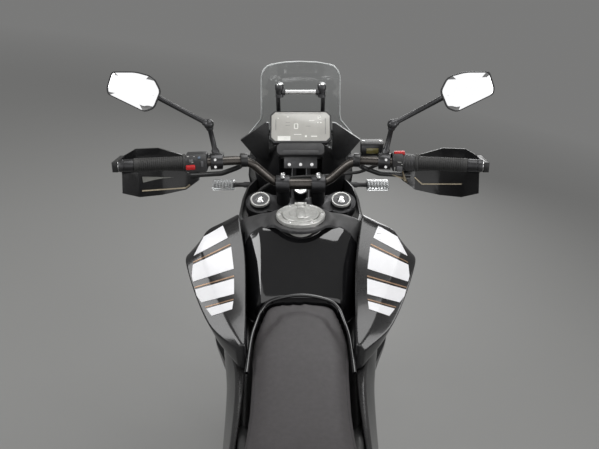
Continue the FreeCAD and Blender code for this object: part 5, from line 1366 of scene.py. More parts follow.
def chamfered(wide, high, cut, centre=(0.0, 0.0)):
    w, h = wide / 2, high / 2
    corners = ((-w + cut, -h), (w - cut, -h), (w, -h + cut), (w, h - cut), (w - cut, h), (-w + cut, h),
               (-w, h - cut), (-w, -h + cut))
    return [(centre[0] + x, centre[1] + z) for x, z in corners]


dash_case = eased(dash_plate(chamfered(163, 89, 11), -0.2, 17.5), 2.0, 3)
dash_foot = eased(dash_plate(chamfered(126, 33, 7, (0, -61)), -0.2, 21.5), 2.0, 3)
foot_groove = eased(dash_plate(chamfered(96, 10, 3, (0, -70)), 1.0, 3.0), 0.8, 2)
piece("dash_case", together(dash_case, dash_foot, foot_groove), matt_black, "chassis",
      ("dash",))
display_grey = finish("display_lit_grey", (0.50, 0.49, 0.46), 0.22, grain=240.0, relief=0.0, spread=0.04,
                      dust=0.03, coat=0.4, tint=0.06)
display_mark = finish("display_white_mark", (0.86, 0.86, 0.82), 0.3, grain=240.0, relief=0.0, dust=0.0)
display_dark = finish("display_grey_mark", (0.30, 0.30, 0.29), 0.3, grain=240.0, relief=0.0, dust=0.0)
piece("dash_display", eased(dash_plate(chamfered(155, 80, 10, (0, 1)), 0.5, 2.0), 0.4, 2), display_grey,
      "chassis")


def display_bar(x, z, wide, high):
    return dash_plate([(x - wide / 2, z - high / 2), (x + wide / 2, z - high / 2),
                       (x + wide / 2, z + high / 2), (x - wide / 2, z + high / 2)], 0.75, 0.6)


def digit(x, z, wide, high, strokes, line=1.5):
    # a plain seven-stroke number
    half_w, half_h = wide / 2, high / 2
    places = {"top": (0, half_h, wide, line), "middle": (0, 0, wide, line),
              "bottom": (0, -half_h, wide, line), "upper_left": (-half_w, half_h / 2, line, half_h),
              "upper_right": (half_w, half_h / 2, line, half_h),
              "lower_left": (-half_w, -half_h / 2, line, half_h),
              "lower_right": (half_w, -half_h / 2, line, half_h)}
    return [display_bar(x + places[s][0], z + places[s][1], places[s][2], places[s][3]) for s in strokes]


nought = ("top", "bottom", "upper_left", "upper_right", "lower_left", "lower_right")
one = ("upper_right", "lower_right")
two = ("top", "upper_right", "middle", "lower_left", "bottom")
light_marks = digit(-12, 2, 9, 13, nought, 2.6) + digit(44, 26, 5, 9, one) + digit(51, 26, 5, 9, two)
light_marks += [display_bar(30, 18, 14, 2.0), display_bar(46, 12, 4, 3), display_bar(54, 12, 4, 3),
                display_bar(-44, -32, 34, 13), display_bar(-8, -21, 20, 2.0), display_bar(36, -26, 16, 2.5),
                display_bar(14, -26, 5, 5), display_bar(-60, 24, 3, 3), display_bar(-34, 28, 6, 2)]
dark_marks = [display_bar(-66, 6, 2, 30), display_bar(66, 2, 2, 44), display_bar(0, 37, 120, 1.0),
              display_bar(-34, 12, 12, 1.2), display_bar(-34, 4, 12, 1.2), display_bar(20, 2, 12, 1.2)]
piece("dash_light_marks", together(*light_marks), display_mark, "chassis")
piece("dash_grey_marks", together(*dark_marks), display_dark, "chassis")

# Nose: moulded cheeks, hood and beak round a faceted headlamp with two bowl reflectors. A steel stay
# carries them, and its bracket behind the clamps shows three bolts.
softened("nose_fairing", "nose_fairing_shell", cowl_black, "chassis", 3.0, 3)
softened("fairing_stay", "fairing_stay_tubes", black_steel, "chassis", 0.8)
stay_bolts = [(Vector((x, 1201, 1122)), Vector((0, -0.91, 0.42))) for x in (-30, 0, 30)]
copies("dash_bracket_bolts", screw_head(5.0, 3.6), stay_bolts, bright_steel, "chassis")
lamp_lens = clear_finish("lamp_lens", (0.92, 0.94, 0.95), 0.9, 1.3, 60.0, 0.02, 0.08)
reflector = finish("lamp_reflector", (0.75, 0.75, 0.76), 0.12, metallic=1.0, grain=300.0, relief=0.0,
                   spread=0.04, dust=0.0)
softened("headlamp", "headlamp_lens", lamp_lens, "chassis", 2.5, 3)
bowl_profile = ((0, 20.0), (2, 22.5), (12, 25.0), (13, 24.0), (4, 19.5), (2, 10.0), (10, 6.0), (14, 0.5))
bowls = [lathed(bowl_profile, Vector((side * 36, 1372, 1035)), (0, 1, 0), 32) for side in (-1, 1)]
piece("headlamp_reflectors", together(*bowls), reflector, "chassis")

# Indicators: short stalks with clear lenses. The front ones are clear all round, with a ribbed
# reflector inside, and the rear ones have black cases.
indicator_parts, indicator_lenses = [], []
for root, x, y, z in ((-26, 150, 1300, 1030), (4, 33, -229, 780)):
    indicator_parts.append(lathed(((root, 7.0), (10, 8.6), (14, 6.4), (32, 6.4), (40, 8.0)),
                                  Vector((x, y, z)), (1, 0, 0), 20))
indicator_parts.append(block((33 + 69, -229 + 7.5, 780), (65, 18, 25), 4.0, None, 3))
indicator_lenses.append(block((33 + 69, -229 - 8.0, 780), (63, 17, 23), 5.0, None, 3))
indicator_lenses.append(block((150 + 69, 1300, 1030), (65, 33, 25), 5.0, None, 3))
reflector_ribs = [block((150 + 44 + n * 8.4, 1300, 1030), (5.6, 12, 17), 2.0) for n in range(7)]
piece("indicator_cases", both_sides(together(*indicator_parts)), switch_matt, "chassis",
      ("indicators",))
piece("indicator_reflectors", both_sides(together(*reflector_ribs)), bright_steel, "chassis")
piece("indicator_lenses", both_sides(together(*indicator_lenses)), lamp_lens, "chassis")


# Wheels: each has a block-pattern tyre on a black alloy rim, laced to a turned hub by 36 steel spokes.
# The front brake disc and the rear disc and sprocket are bolted to the hubs.
def round_tree():
    # copies of one sector round a wheel's axis, which runs along X through Centre
    tree = bpy.data.node_groups.new("copies_round_axle", "GeometryNodeTree")
    for socket_name, socket_type in (("Sector", "Geometry"), ("Count", "Int"), ("Centre", "Vector"),
                                     ("Finish", "Material")):
        tree.interface.new_socket(socket_name, in_out="INPUT", socket_type="NodeSocket" + socket_type)
    tree.interface.new_socket("Whole", in_out="OUTPUT", socket_type="NodeSocketGeometry")
    given = tree.nodes.new("NodeGroupInput")
    result = tree.nodes.new("NodeGroupOutput")
    away = added(tree, "ShaderNodeVectorMath", "SCALE", {"Scale": -1.0})
    to_origin = tree.nodes.new("GeometryNodeTransform")
    points = tree.nodes.new("GeometryNodePoints")
    index = tree.nodes.new("GeometryNodeInputIndex")
    share = added(tree, "ShaderNodeMath", "DIVIDE")
    angle = added(tree, "ShaderNodeMath", "MULTIPLY", {1: 2 * math.pi})
    euler = tree.nodes.new("ShaderNodeCombineXYZ")
    to_rotation = tree.nodes.new("FunctionNodeEulerToRotation")
    instances = tree.nodes.new("GeometryNodeInstanceOnPoints")
    real = tree.nodes.new("GeometryNodeRealizeInstances")
    back = tree.nodes.new("GeometryNodeTransform")
    finished = tree.nodes.new("GeometryNodeSetMaterial")
    wired(tree, (given, "Centre", away, 0), (given, "Sector", to_origin, "Geometry"),
          (away, "Vector", to_origin, "Translation"), (given, "Count", points, "Count"),
          (index, 0, share, 0), (given, "Count", share, 1), (share, 0, angle, 0), (angle, 0, euler, "X"),
          (euler, 0, to_rotation, 0), (points, 0, instances, "Points"),
          (to_origin, 0, instances, "Instance"), (to_rotation, 0, instances, "Rotation"),
          (instances, 0, real, "Geometry"), (real, 0, back, "Geometry"),
          (given, "Centre", back, "Translation"), (back, 0, finished, "Geometry"),
          (given, "Finish", finished, "Material"), (finished, 0, result, "Whole"))
    return tree


round_axle = round_tree()


def around(name, part, count, centre, material, body, replaced=(), smooth=38):
    # one sector repeated round an axle
    shape = shape_of(part)
    bmesh.ops.remove_doubles(shape, verts=shape.verts, dist=0.01)
    holder = placed(name + "_sector", mesh_from(name + "_sector", shape))
    tree = holder.modifiers.new("round", "NODES")
    tree.node_group = round_axle
    ids = socket_ids(round_axle)
    tree[ids["Count"]] = count
    tree[ids["Centre"]] = tuple(centre)
    tree[ids["Finish"]] = material
    whole = evaluated_mesh(holder)
    bpy.data.objects.remove(holder)
    shape = bmesh.new()
    shape.from_mesh(whole)
    bmesh.ops.remove_doubles(shape, verts=shape.verts, dist=0.02)
    bmesh.ops.recalc_face_normals(shape, faces=shape.faces)
    mesh = mesh_from(name, shape)
    mesh.transform(machine)
    return object_of(name, mesh, material, body, replaced, smooth)


def polar(x, radius, angle):
    turn = math.radians(angle)
    return Vector((x, radius * math.sin(turn), radius * math.cos(turn)))


def through(start, middle, end, steps):
    # points along the arc through three points (x, radius)
    a, b, c = (Vector(point) for point in (start, middle, end))
    d = 2 * (a.x * (b.y - c.y) + b.x * (c.y - a.y) + c.x * (a.y - b.y))
    sa, sb, sc = a.length_squared, b.length_squared, c.length_squared
    centre = Vector(((sa * (b.y - c.y) + sb * (c.y - a.y) + sc * (a.y - b.y)) / d,
                     (sa * (c.x - b.x) + sb * (a.x - c.x) + sc * (b.x - a.x)) / d))
    first = math.atan2(a.y - centre.y, a.x - centre.x)
    last = math.atan2(c.y - centre.y, c.x - centre.x)
    turn = (last - first + math.pi) % (2 * math.pi) - math.pi
    radius = (a - centre).length
    return [(centre.x + radius * math.cos(first + turn * n / steps),
             centre.y + radius * math.sin(first + turn * n / steps)) for n in range(steps + 1)]


# tread block: lowest and highest share of the half width, start and end share of the pitch, lean of the
# block's sides along the wheel
front_blocks = ((0.03, 0.30, 0.05, 0.88, 0.18), (0.38, 0.66, 0.20, 0.98, -0.16),
                (0.74, 0.99, 0.10, 0.82, 0.12))
rear_blocks = ((0.03, 0.27, 0.05, 0.86, 0.20), (0.34, 0.60, 0.22, 0.98, -0.18),
               (0.67, 0.97, 0.10, 0.84, 0.12))
tread_depth = 6.0
spoke_steel = finish("spoke_steel", (0.45, 0.45, 0.45), 0.28, metallic=1.0, grain=900.0, relief=0.05,
                     dust=0.08)
rim_black = finish("rim_anodised_black", (0.020, 0.020, 0.022), 0.28, metallic=0.6, grain=900.0,
                   relief=0.06, spread=0.06, dust=0.10, wear=0.2)
hub_black = finish("hub_cast_black", (0.028, 0.028, 0.03), 0.42, metallic=0.5, grain=900.0, relief=0.25,
                   dust=0.12, wear=0.3)
disc_steel = finish("brushed_disc_steel", (0.42, 0.42, 0.42), 0.24, metallic=1.0, grain=1600.0, relief=0.1,
                    spread=0.08, dust=0.04)
carrier_alloy = finish("disc_carrier_alloy", (0.10, 0.10, 0.105), 0.4, metallic=0.8, grain=900.0,
                       relief=0.15, dust=0.08)
tyre_rubber = finish("tyre_rubber", (0.021, 0.021, 0.021), 0.72, grain=500.0, relief=0.5, spread=0.08,
                     dust=0.25)
wheels = {"front": {"axle": front_axle_middle, "body": "front_wheel", "radius": 348.0, "width": 90.0,
                    "crown": (42.0, 21.0), "seat": 267.0, "bead": 27.0, "flange": 4.0,
                    "flange_height": 13.0, "well_half": 14.0, "spoke_x": 7.0, "spoke_radius": 2.0,
                    "left": -72.5, "right": 58.0, "spacers": (-80.0, 80.0), "hub": 30.0, "flange_x": 33.0,
                    "flange_radius": 38.0, "cross": 52.0, "bore": 12.55, "blocks": front_blocks,
                    "pitches": 54, "disc": (-66.0, 160.0, 38.0, 30.0, 6)},
          "rear": {"axle": Vector((0, 0, rear_axle_height)), "body": "rear_wheel", "radius": 327.0,
                   "width": 140.0, "crown": (66.0, 30.0), "seat": 228.5, "bead": 45.0, "flange": 4.5,
                   "flange_height": 13.0, "well_half": 26.0, "spoke_x": 15.0, "spoke_radius": 2.2,
                   "left": -104.5, "right": 94.5, "spacers": (-111.0, 111.0), "hub": 34.0, "flange_x": 38.0,
                   "flange_radius": 46.0, "cross": 48.0, "bore": 10.05, "blocks": rear_blocks,
                   "pitches": 44, "disc": (88.0, 120.0, 34.0, 34.0, 5)}, }
disc_half = 2.5
for wheel_name, wheel in wheels.items():
    axle, body = wheel["axle"], wheel["body"]
    half_chord, crown_height = wheel["crown"]
    crown_round = (half_chord ** 2 + crown_height ** 2) / (2 * crown_height)
    crown_centre = wheel["radius"] - crown_round
    bead_top = wheel["seat"] + wheel["flange_height"]
    shoulder = wheel["radius"] - crown_height
    side_middle = ((wheel["width"] / 2), (bead_top + shoulder) / 2)

    def on_tread(x, run):
        over = Vector((x, math.sqrt(crown_round ** 2 - x ** 2)))
        radius = crown_centre + over.y
        angle = math.degrees(run / wheel["radius"])
        point = axle + polar(x, radius, angle)
        out = over.normalized()
        return point, polar(out.x, out.y, angle)

    crown_points = [(x, crown_centre + math.sqrt(crown_round ** 2 - x ** 2) - tread_depth)
                    for x in [half_chord * (n / 6) * 0.985 for n in range(-6, 7)]]
    side_points = through((half_chord, shoulder), side_middle, (wheel["bead"] + 1.0, bead_top), 8)[1:]
    lower = [(wheel["bead"] + 0.5, bead_top - 2), (wheel["bead"] - 1.0, wheel["seat"] + 1.0)]
    outline = [(-x, r) for x, r in reversed(side_points + lower)] + crown_points + side_points + lower
    piece(wheel_name + "_tyre_carcass", hollow_ring(outline, axle, (1, 0, 0), 144), tyre_rubber, body,
          (wheel_name + "_tyre",), 45)
    pitch = 2 * math.pi * wheel["radius"] / wheel["pitches"]
    sector = []
    for side in (-1, 1):
        for low, high, start, end, lean_by in wheel["blocks"]:
            x_low, x_high = low * half_chord, high * half_chord
            shift = 0.5 * (side > 0)
            corners = [(x_low, start + shift), (x_high, start + shift + lean_by),
                       (x_high, end + shift + lean_by), (x_low, end + shift)]
            corners = [(side * x, run * pitch) for x, run in corners]
            sector.append(laid(corners if side > 0 else corners[::-1], 18.0, on_tread, -0.2, tread_depth
                               + 1.0))
    around(wheel_name + "_tyre_tread", together(*sector), wheel["pitches"], axle, tyre_rubber, body,
           (), 30)

    bead, seat, outer = wheel["bead"], wheel["seat"], wheel["bead"] + wheel["flange"]
    well = seat - 16.0
    rim_outline = [(-outer, bead_top - 1.5), (-outer + 1.5, bead_top), (-bead - 1, bead_top),
                   (-bead, bead_top - 1.5), (-bead, seat), (bead, seat), (bead, bead_top - 1.5),
                   (bead + 1, bead_top), (outer - 1.5, bead_top), (outer, bead_top - 1.5),
                   (outer, seat - 3), (outer - 3, seat - 6), (wheel["well_half"] + 4, well + 2),
                   (wheel["well_half"], well + 0.3), (-wheel["well_half"], well + 0.3),
                   (-wheel["well_half"] - 4, well + 2), (-outer + 3, seat - 6), (-outer, seat - 3)]
    piece(wheel_name + "_rim_hoop", hollow_ring(rim_outline, axle, (1, 0, 0), 120), rim_black, body,
          (wheel_name + "_rim",), 40)
    spoke_sector, nipple_sector = [], []
    for index in range(4):
        side = 1 if index % 2 else -1
        cross = 1 if (index // 2) % 2 else -1
        rim_angle = 10.0 * index
        foot = axle + polar(side * wheel["flange_x"], wheel["flange_radius"], rim_angle + cross
                            * wheel["cross"])
        head = axle + polar(side * wheel["spoke_x"], well + 3, rim_angle)
        run = head - foot
        spoke_sector.append(lathed(((0, wheel["spoke_radius"]), (run.length, wheel["spoke_radius"])), foot,
                                   run, 8))
        nipple_sector.append(lathed(((run.length - 20, 2.4), (run.length - 19, 3.2), (run.length - 7, 3.2),
                                     (run.length - 6, 4.4), (run.length - 1, 4.4)), foot, run, 8))
        knob = foot + Vector((side * 3.6, 0, 0))
        nipple_sector.append(lathed(((-2, 2.0), (0, 3.6), (2.0, 3.2), (2.8, 1.5)), knob, (side, 0, 0), 10))
    around(wheel_name + "_spokes", together(*spoke_sector), 9, axle, spoke_steel, body)
    around(wheel_name + "_spoke_nipples", together(*nipple_sector), 9, axle, bright_steel, body)
    hub, flange_x, flange_radius = wheel["hub"], wheel["flange_x"], wheel["flange_radius"] + 5
    hub_outline = [(wheel["spacers"][0], wheel["bore"]), (wheel["spacers"][0], 16),
                   (wheel["spacers"][0] + 1, 17), (wheel["left"] - 1, 17), (wheel["left"] - 1, hub - 4),
                   (wheel["left"], hub - 1), (wheel["left"] + 2, hub)]
    hub_outline += [(-flange_x - 5, hub), (-flange_x - 4, hub + 3), (-flange_x - 3.9, flange_radius - 1.5),
                    (-flange_x - 2.5, flange_radius), (-flange_x + 2.5, flange_radius),
                    (-flange_x + 3.9, flange_radius - 1.5), (-flange_x + 4, hub + 2),
                    (-flange_x + 8, hub - 1), (-flange_x + 14, hub - 3)]
    mirror_part = [(-x, r) for x, r in hub_outline[7:]][::-1]
    hub_outline += mirror_part + [(wheel["right"] - 2, hub), (wheel["right"], hub - 1),
                                  (wheel["right"] + 1, hub - 4), (wheel["right"] + 1, 17),
                                  (wheel["spacers"][1] - 1, 17), (wheel["spacers"][1], 16),
                                  (wheel["spacers"][1], wheel["bore"])]
    piece(wheel_name + "_hub_turned", hollow_ring(hub_outline, axle, (1, 0, 0), 64), hub_black, body,
          (), 35)

    disc_x, disc_radius, disc_band, disc_inner, arm_count = wheel["disc"]
    sectors, holes = 36, 3
    turn_by = 360.0 / sectors
    inner_radius = disc_radius - disc_band
    arc_steps = 4
    ring_points = [polar(0, disc_radius, turn_by * n / arc_steps) for n in range(arc_steps + 1)]
    ring_points += [polar(0, inner_radius, turn_by * n / arc_steps) for n in range(arc_steps, -1, -1)]
    start = axle + Vector((disc_x - disc_half, 0, 0))
    slab = pushed([start + point for point in ring_points], (2 * disc_half, 0, 0))
    drills = []
    for n in range(holes):
        angle = turn_by * (0.25 + 0.25 * n)
        hole_radius = inner_radius + disc_band * (0.22 + 0.28 * n)
        drills.append(lathed(((-2, 2.6), (8, 2.6)), start + polar(0, hole_radius, angle), (1, 0, 0), 12))
    vertices, faces = carved(slab, *drills)
    end_planes = [polar(0, 1, 90.0), polar(0, 1, turn_by - 90.0)]
    kept_faces = [face for face in faces
                  if not any(all(abs((vertices[i] - axle).dot(plane)) < 0.02 for i in face)
                             for plane in end_planes)]
    inner_ring = hollow_ring([(disc_x - disc_half, disc_inner + 0.3),
                              (disc_x + disc_half, disc_inner + 0.3), (disc_x + disc_half, disc_inner + 13),
                              (disc_x - disc_half, disc_inner + 13)], axle, (1, 0, 0), 64)
    around(wheel_name + "_disc_ring", (vertices, kept_faces), sectors, axle, disc_steel, body,
           (wheel_name + "_disc",), 30)
    arms, bobbins, bolts = [inner_ring], [], []
    for index in range(arm_count):
        angle = 360.0 * index / arm_count
        foot = axle + polar(disc_x, disc_inner + 8, angle)
        head = axle + polar(disc_x, inner_radius + 5, angle)
        width = polar(0, 8.5, angle + 90)
        corners = [foot - width * 1.3, foot + width * 1.3, head + width * 0.65, head - width * 0.65]
        arms.append(eased(pushed([point - Vector((disc_half - 0.3, 0, 0)) for point in corners],
                                 (2 * disc_half - 0.6, 0, 0)), 0.8, 2))
        out = 1 if disc_x > 0 else -1
        bobbins.append((axle + polar(disc_x + out * disc_half, inner_radius + 2, angle),
                        Vector((out, 0, 0))))
        bolts.append((axle + polar(disc_x + out * disc_half, disc_inner + 7, angle + 180 / arm_count),
                      Vector((out, 0, 0))))
    piece(wheel_name + "_disc_carrier", together(*arms), carrier_alloy, body)
    copies(wheel_name + "_disc_bobbins", screw_head(6.0, 1.6, 0.4), bobbins, bright_steel, body)
    copies(wheel_name + "_disc_bolts", screw_head(5.0, 3.0), bolts, black_steel, body)

# Rear sprocket and drive chain: hardened steel. The sprocket has 48 teeth and the drive sprocket 15,
# and each link of the chain is two plates on round pins.
sprocket_x, chain_pitch = -97.0, 15.875
sprocket_half = 3.0
drive_middle = Vector((sprocket_x, 600, 428))
rear_middle = Vector((0, 0, rear_axle_height))


def pitch_radius(teeth):
    return chain_pitch / (2 * math.sin(math.pi / teeth))


def toothed(centre, teeth, thick, inner):
    radius = pitch_radius(teeth)
    points = []
    for tooth in range(teeth):
        for share, out in ((-0.5, -4.9), (-0.34, -3.4), (-0.22, -0.5), (-0.10, 2.7), (0.10, 2.7),
                           (0.22, -0.5), (0.34, -3.4)):
            points.append(centre + polar(-thick, radius + out, 360.0 * (tooth + share) / teeth))
    bore = lathed(((-20, inner), (20, inner)), centre, (1, 0, 0), 48)
    return pushed(points, (2 * thick, 0, 0)), bore


sprocket_centre = rear_middle + Vector((sprocket_x, 0, 0))
plate, bore = toothed(sprocket_centre, 48, sprocket_half, 34.4)
windows = [lathed(((-20, 19.0), (20, 19.0)), sprocket_centre + polar(0, 74.0, 60.0 * n + 30), (1, 0, 0), 28)
           for n in range(6)]
sprocket_steel = finish("sprocket_steel", (0.30, 0.30, 0.30), 0.34, metallic=1.0, grain=900.0, relief=0.15,
                        dust=0.15)
piece("rear_sprocket_toothed", carved(plate, bore, *windows), sprocket_steel, "rear_wheel",
      ("rear_sprocket",), 30)
sprocket_bolts = [(sprocket_centre + polar(-sprocket_half, 46.0, 60.0 * n), Vector((-1, 0, 0)))
                  for n in range(6)]
copies("rear_sprocket_bolts", screw_head(5.5, 4.0), sprocket_bolts, black_steel, "rear_wheel")
drive_plate = toothed(drive_middle, 15, sprocket_half, 9.0)[0]
piece("drive_sprocket_toothed", drive_plate, sprocket_steel, "chassis")


def chain_places():
    # evenly spaced (point, angle) along the chain's loop round both sprockets
    big, small = pitch_radius(48), pitch_radius(15)
    wheel_centre = Vector((0, rear_axle_height))
    drive = Vector((drive_middle.y, drive_middle.z))
    span = drive - wheel_centre
    slope = math.asin((big - small) / span.length)
    base = math.atan2(span.y, span.x)

    def way(angle):
        return Vector((math.cos(angle), math.sin(angle)))

    top, low = base + math.pi / 2 - slope, base - math.pi / 2 + slope
    path = [wheel_centre + way(top) * big]
    path += [drive + way(top + (low - top) * n / 24) * small for n in range(25)]
    path += [wheel_centre + way(low - (low + 2 * math.pi - top) * n / 72) * big for n in range(73)]
    lengths = [(b - a).length for a, b in zip(path, path[1:])]
    total = sum(lengths)
    links = 2 * round(total / chain_pitch / 2)
    joints_on_chain = []
    for n in range(links):
        aim = total * n / links
        for length, a, b in zip(lengths, path, path[1:]):
            if aim <= length:
                joints_on_chain.append(a.lerp(b, aim / length))
                break
            aim -= length
    return joints_on_chain


def link(plate_x, waist, pin_radius):
    reach = chain_pitch / 2
    outline = []
    for end in (1, -1):
        for n in range(5):
            turn = math.radians(-70 + 35 * n)
            outline.append((end * (reach + 6.4 * math.cos(turn)), end * 6.4 * math.sin(turn)))
        outline.append((0.0, end * waist))
    parts = []
    for x in (-plate_x, plate_x):
        parts.append(pushed([Vector((x - 0.9, y, z)) for y, z in outline], (1.8, 0, 0)))
    for end in (-1, 1):
        parts.append(lathed(((-plate_x - 1.0, pin_radius), (plate_x + 1.0, pin_radius)),
                            (0, end * reach, 0), (1, 0, 0), 8))
    return together(*parts)


chain_points = chain_places()
outer_links, inner_links = [], []
for index, point in enumerate(chain_points):
    after = chain_points[(index + 1) % len(chain_points)]
    middle, run = (point + after) / 2, after - point
    turn = Matrix.Rotation(math.atan2(run.y, run.x), 3, "X")
    (outer_links if index % 2 else inner_links).append((Vector((sprocket_x, middle.x, middle.y)), turn))
chain_steel = finish("chain_steel", (0.32, 0.30, 0.27), 0.36, metallic=1.0, grain=700.0, relief=0.15,
                     dust=0.2)
copies("chain_outer_links", link(7.2, 4.6, 2.6), outer_links, chain_steel, "chassis", 1.0,
       ("drive_chain",))
copies("chain_inner_links", link(5.0, 4.2, 4.6), inner_links, chain_steel, "chassis", 1.0,
       ("drive_chain",))

# Frame, subframe and stand: painted steel, every edge eased, with bolts where the plates carry the
# engine and the swingarm.
frame_paint = finish("satin_frame_paint", (0.020, 0.020, 0.021), 0.36, grain=900.0, relief=0.12,
                     spread=0.06, wear=0.25, dust=0.12)
for node, body in (("main_frame", "chassis"), ("subframe", "chassis"), ("side_stand", "side_stand")):
    softened(node, node + "_painted", frame_paint, body, 1.8, 3)
bolt_head = screw_head(7.5, 5.5)
frame_bolts = [(side * 130.0, y, z) for side in (-1, 1) for y, z in ((552.0, 470.0), (500.0, 462.0))]
copies("frame_bolts", bolt_head, [(place, (place[0], 0, 0)) for place in frame_bolts], bright_steel,
       "chassis")


# Rear axle and swing pin: round steel pins that run right through, each with a chamfered hexagon nut
# and a washer at both ends.
def hexagon(profile, foot, axis):
    return eased(lathed(profile, foot, axis, 6), 0.8, 2, 40)


def both_ends(reach, height, radius):
    return both_sides(together(lathed(((0, radius + 2), (1.6, radius + 2)), (reach, 0, 0), (1, 0, 0), 32),
                               hexagon(((0, radius), (height, radius)), (reach, 0, 0), (1, 0, 0))))


def moved(part, place):
    return [Vector(place) + vertex for vertex in part[0]], part[1]


swing_pivot = Vector((0, 525, 425))
rear_pin = together(lathed(((-151, 8.5), (-149, 10), (149, 10), (151, 8.5)), (0, 0, 0), (1, 0, 0), 24),
                    both_ends(140, 9, 15.5))
swing_pin = together(lathed(((-137, 11), (137, 11)), (0, 0, 0), (1, 0, 0), 24), both_ends(130, 8, 16.5))
piece("rear_axle_pins", together(moved(rear_pin, rear_middle), moved(swing_pin, swing_pivot)), bright_steel,
      "chassis", ("rear_axle",))

# Swingarm: satin black alloy, with a chain adjuster at each end. An adjuster is a plate and a screw
# with its nut, beside a short scale of marks.
arm_black = finish("swingarm_satin_black", (0.026, 0.026, 0.028), 0.4, metallic=0.5, grain=1000.0,
                   relief=0.25, wear=0.35, dust=0.18)
softened("swingarm", "swingarm_casting", arm_black, "chassis", 3.0, 3)
adjusters = [block((126, -45, 328.6), (29, 6, 40), 1.5), block((126, -2, 350.5), (22, 50, 2.4), 0.8),
             hexagon(((0, 6.5), (6, 6.5)), (126, -48, 328.6), (0, -1, 0)),
             lathed(((0, 3.6), (13, 3.6), (14, 2.8)), (126, -48, 328.6), (0, -1, 0), 16)]
adjusters += [block((140.6, y, 328.6 + 14), (1.2, 1.4, 7 if y % 20 else 11), 0.2, None, 1)
              for y in range(-30, 31, 10)]
piece("chain_adjusters", both_sides(together(*adjusters)), bright_steel, "chassis")

# Engine: cast cases with eased edges, round covers with screws, ribs and plugs, extra thin fins and a
# screwed head cover.
engine_grey = finish("cast_engine_grey", (0.095, 0.095, 0.10), 0.44, metallic=0.65, grain=1100.0,
                     relief=0.5, spread=0.08, wear=0.35, dust=0.18)
cover_black = finish("engine_cover_black", (0.030, 0.030, 0.032), 0.38, metallic=0.5, grain=1000.0,
                     relief=0.3, wear=0.3, dust=0.15)
softened("engine", "engine_castings", engine_grey, "chassis", 2.0, 3)
left_cover = Vector((-142, 800, 392))
right_cover = Vector((150, 748, 398))
pump_cover = Vector((140, 862, 372))


def dished(middle, outward, radius, hub_radius, ribs):
    # a raised rim, a hub and straight ribs on a cover's face
    parts = [hollow_ring(((-1, radius - 1), (3, radius - 2), (4, radius - 5), (3, radius - 9),
                          (-1, radius - 10)), middle, (outward, 0, 0), 64),
             lathed(((-1, hub_radius + 3), (3, hub_radius + 2), (5, hub_radius - 1), (5, hub_radius * 0.55),
                     (2.5, hub_radius * 0.5), (2.5, 0)), middle, (outward, 0, 0), 40)]
    for index in range(ribs):
        turn = Matrix.Rotation(2 * math.pi * index / ribs, 3, "X")
        reach = radius - 8 - hub_radius
        parts.append(block(middle + turn @ Vector((outward * 1.2, 0, hub_radius + reach / 2)),
                           (3.2, 4.5, reach + 2), 1.0, turn))
    return together(*parts)


cover_parts = [dished(left_cover, -1, 72.0, 20.0, 0), dished(right_cover, 1, 82.0, 30.0, 6),
               dished(pump_cover, 1, 29.0, 8.0, 0)]
piece("engine_covers", together(*cover_parts), cover_black, "chassis")


def ring_of_screws(middle, outward, back, radius, count, first=0.0):
    turns = [first + 2 * math.pi * index / count for index in range(count)]
    return [(middle + Vector((-outward * back, radius * math.cos(turn), radius * math.sin(turn))),
             (outward, 0, 0)) for turn in turns]


engine_screws = ring_of_screws(left_cover, -1, 24.0, 79.0, 9, 0.2)
engine_screws += ring_of_screws(right_cover, 1, 18.0, 90.0, 11, 0.1)
engine_screws += ring_of_screws(pump_cover, 1, 0.5, 21.0, 3, 0.5)
engine_screws += [((side * 80.0, y, z), (side, 0, 0)) for side in (-1, 1)
                  for y, z in ((772, 735), (914, 722), (922, 640), (765, 652), (843, 648))]
copies("engine_screws", screw_head(4.2, 4.5), engine_screws, bright_steel, "chassis")
thin_fins = [[(735, 531 + 22 * n), (910.5, 521 + 22 * n), (911, 524 + 22 * n), (735.5, 534 + 22 * n)]
             for n in range(5)]
thin_fins += [[(750, 668 + 14 * n), (931, 653 + 14 * n), (931.5, 656 + 14 * n), (750.5, 671 + 14 * n)]
              for n in range(3)]
fin_parts = []
for index, outline in enumerate(thin_fins):
    half = 94.5 if index < 5 else 84.0
    fin_parts.append(eased(pushed([(-half, y, z) for y, z in outline], (2 * half, 0, 0)), 0.8, 2))
piece("thin_fins", together(*fin_parts), engine_grey, "chassis", smooth=30)
caps_on_head = [lathed(((0, 15), (6, 15), (9, 12), (20, 11), (26, 9), (27, 4)), (x, 812, 748),
                       (0, -0.25, 1), 24) for x in (-38, 38)]
filler_plug = together(lathed(((0, 15), (5, 15), (6, 13)), (right_cover.x - 18, 812, 452), (1, 0, 0), 28),
                       block((right_cover.x - 9, 812, 452), (7, 24, 6), 1.5))
piece("engine_plugs", together(filler_plug, *caps_on_head), dark_rubber, "chassis")

# Radiator: a black frame and side tanks round flat tubes and upright fins. It has its cap on one
# tank and hangs from the frame by two stays.
radiator_black = finish("radiator_black", (0.022, 0.022, 0.023), 0.5, metallic=0.3, grain=1000.0,
                        relief=0.25, dust=0.2)
core_grey = finish("radiator_core", (0.050, 0.050, 0.052), 0.42, metallic=0.7, grain=1600.0, relief=0.3,
                   dust=0.25)
radiator_middle = Vector((0, 1068, 648))
radiator_turn = Matrix.Rotation(math.radians(-26.0), 3, "X")


def on_radiator(x, ahead, up):
    return radiator_middle + radiator_turn @ Vector((x, ahead, up))


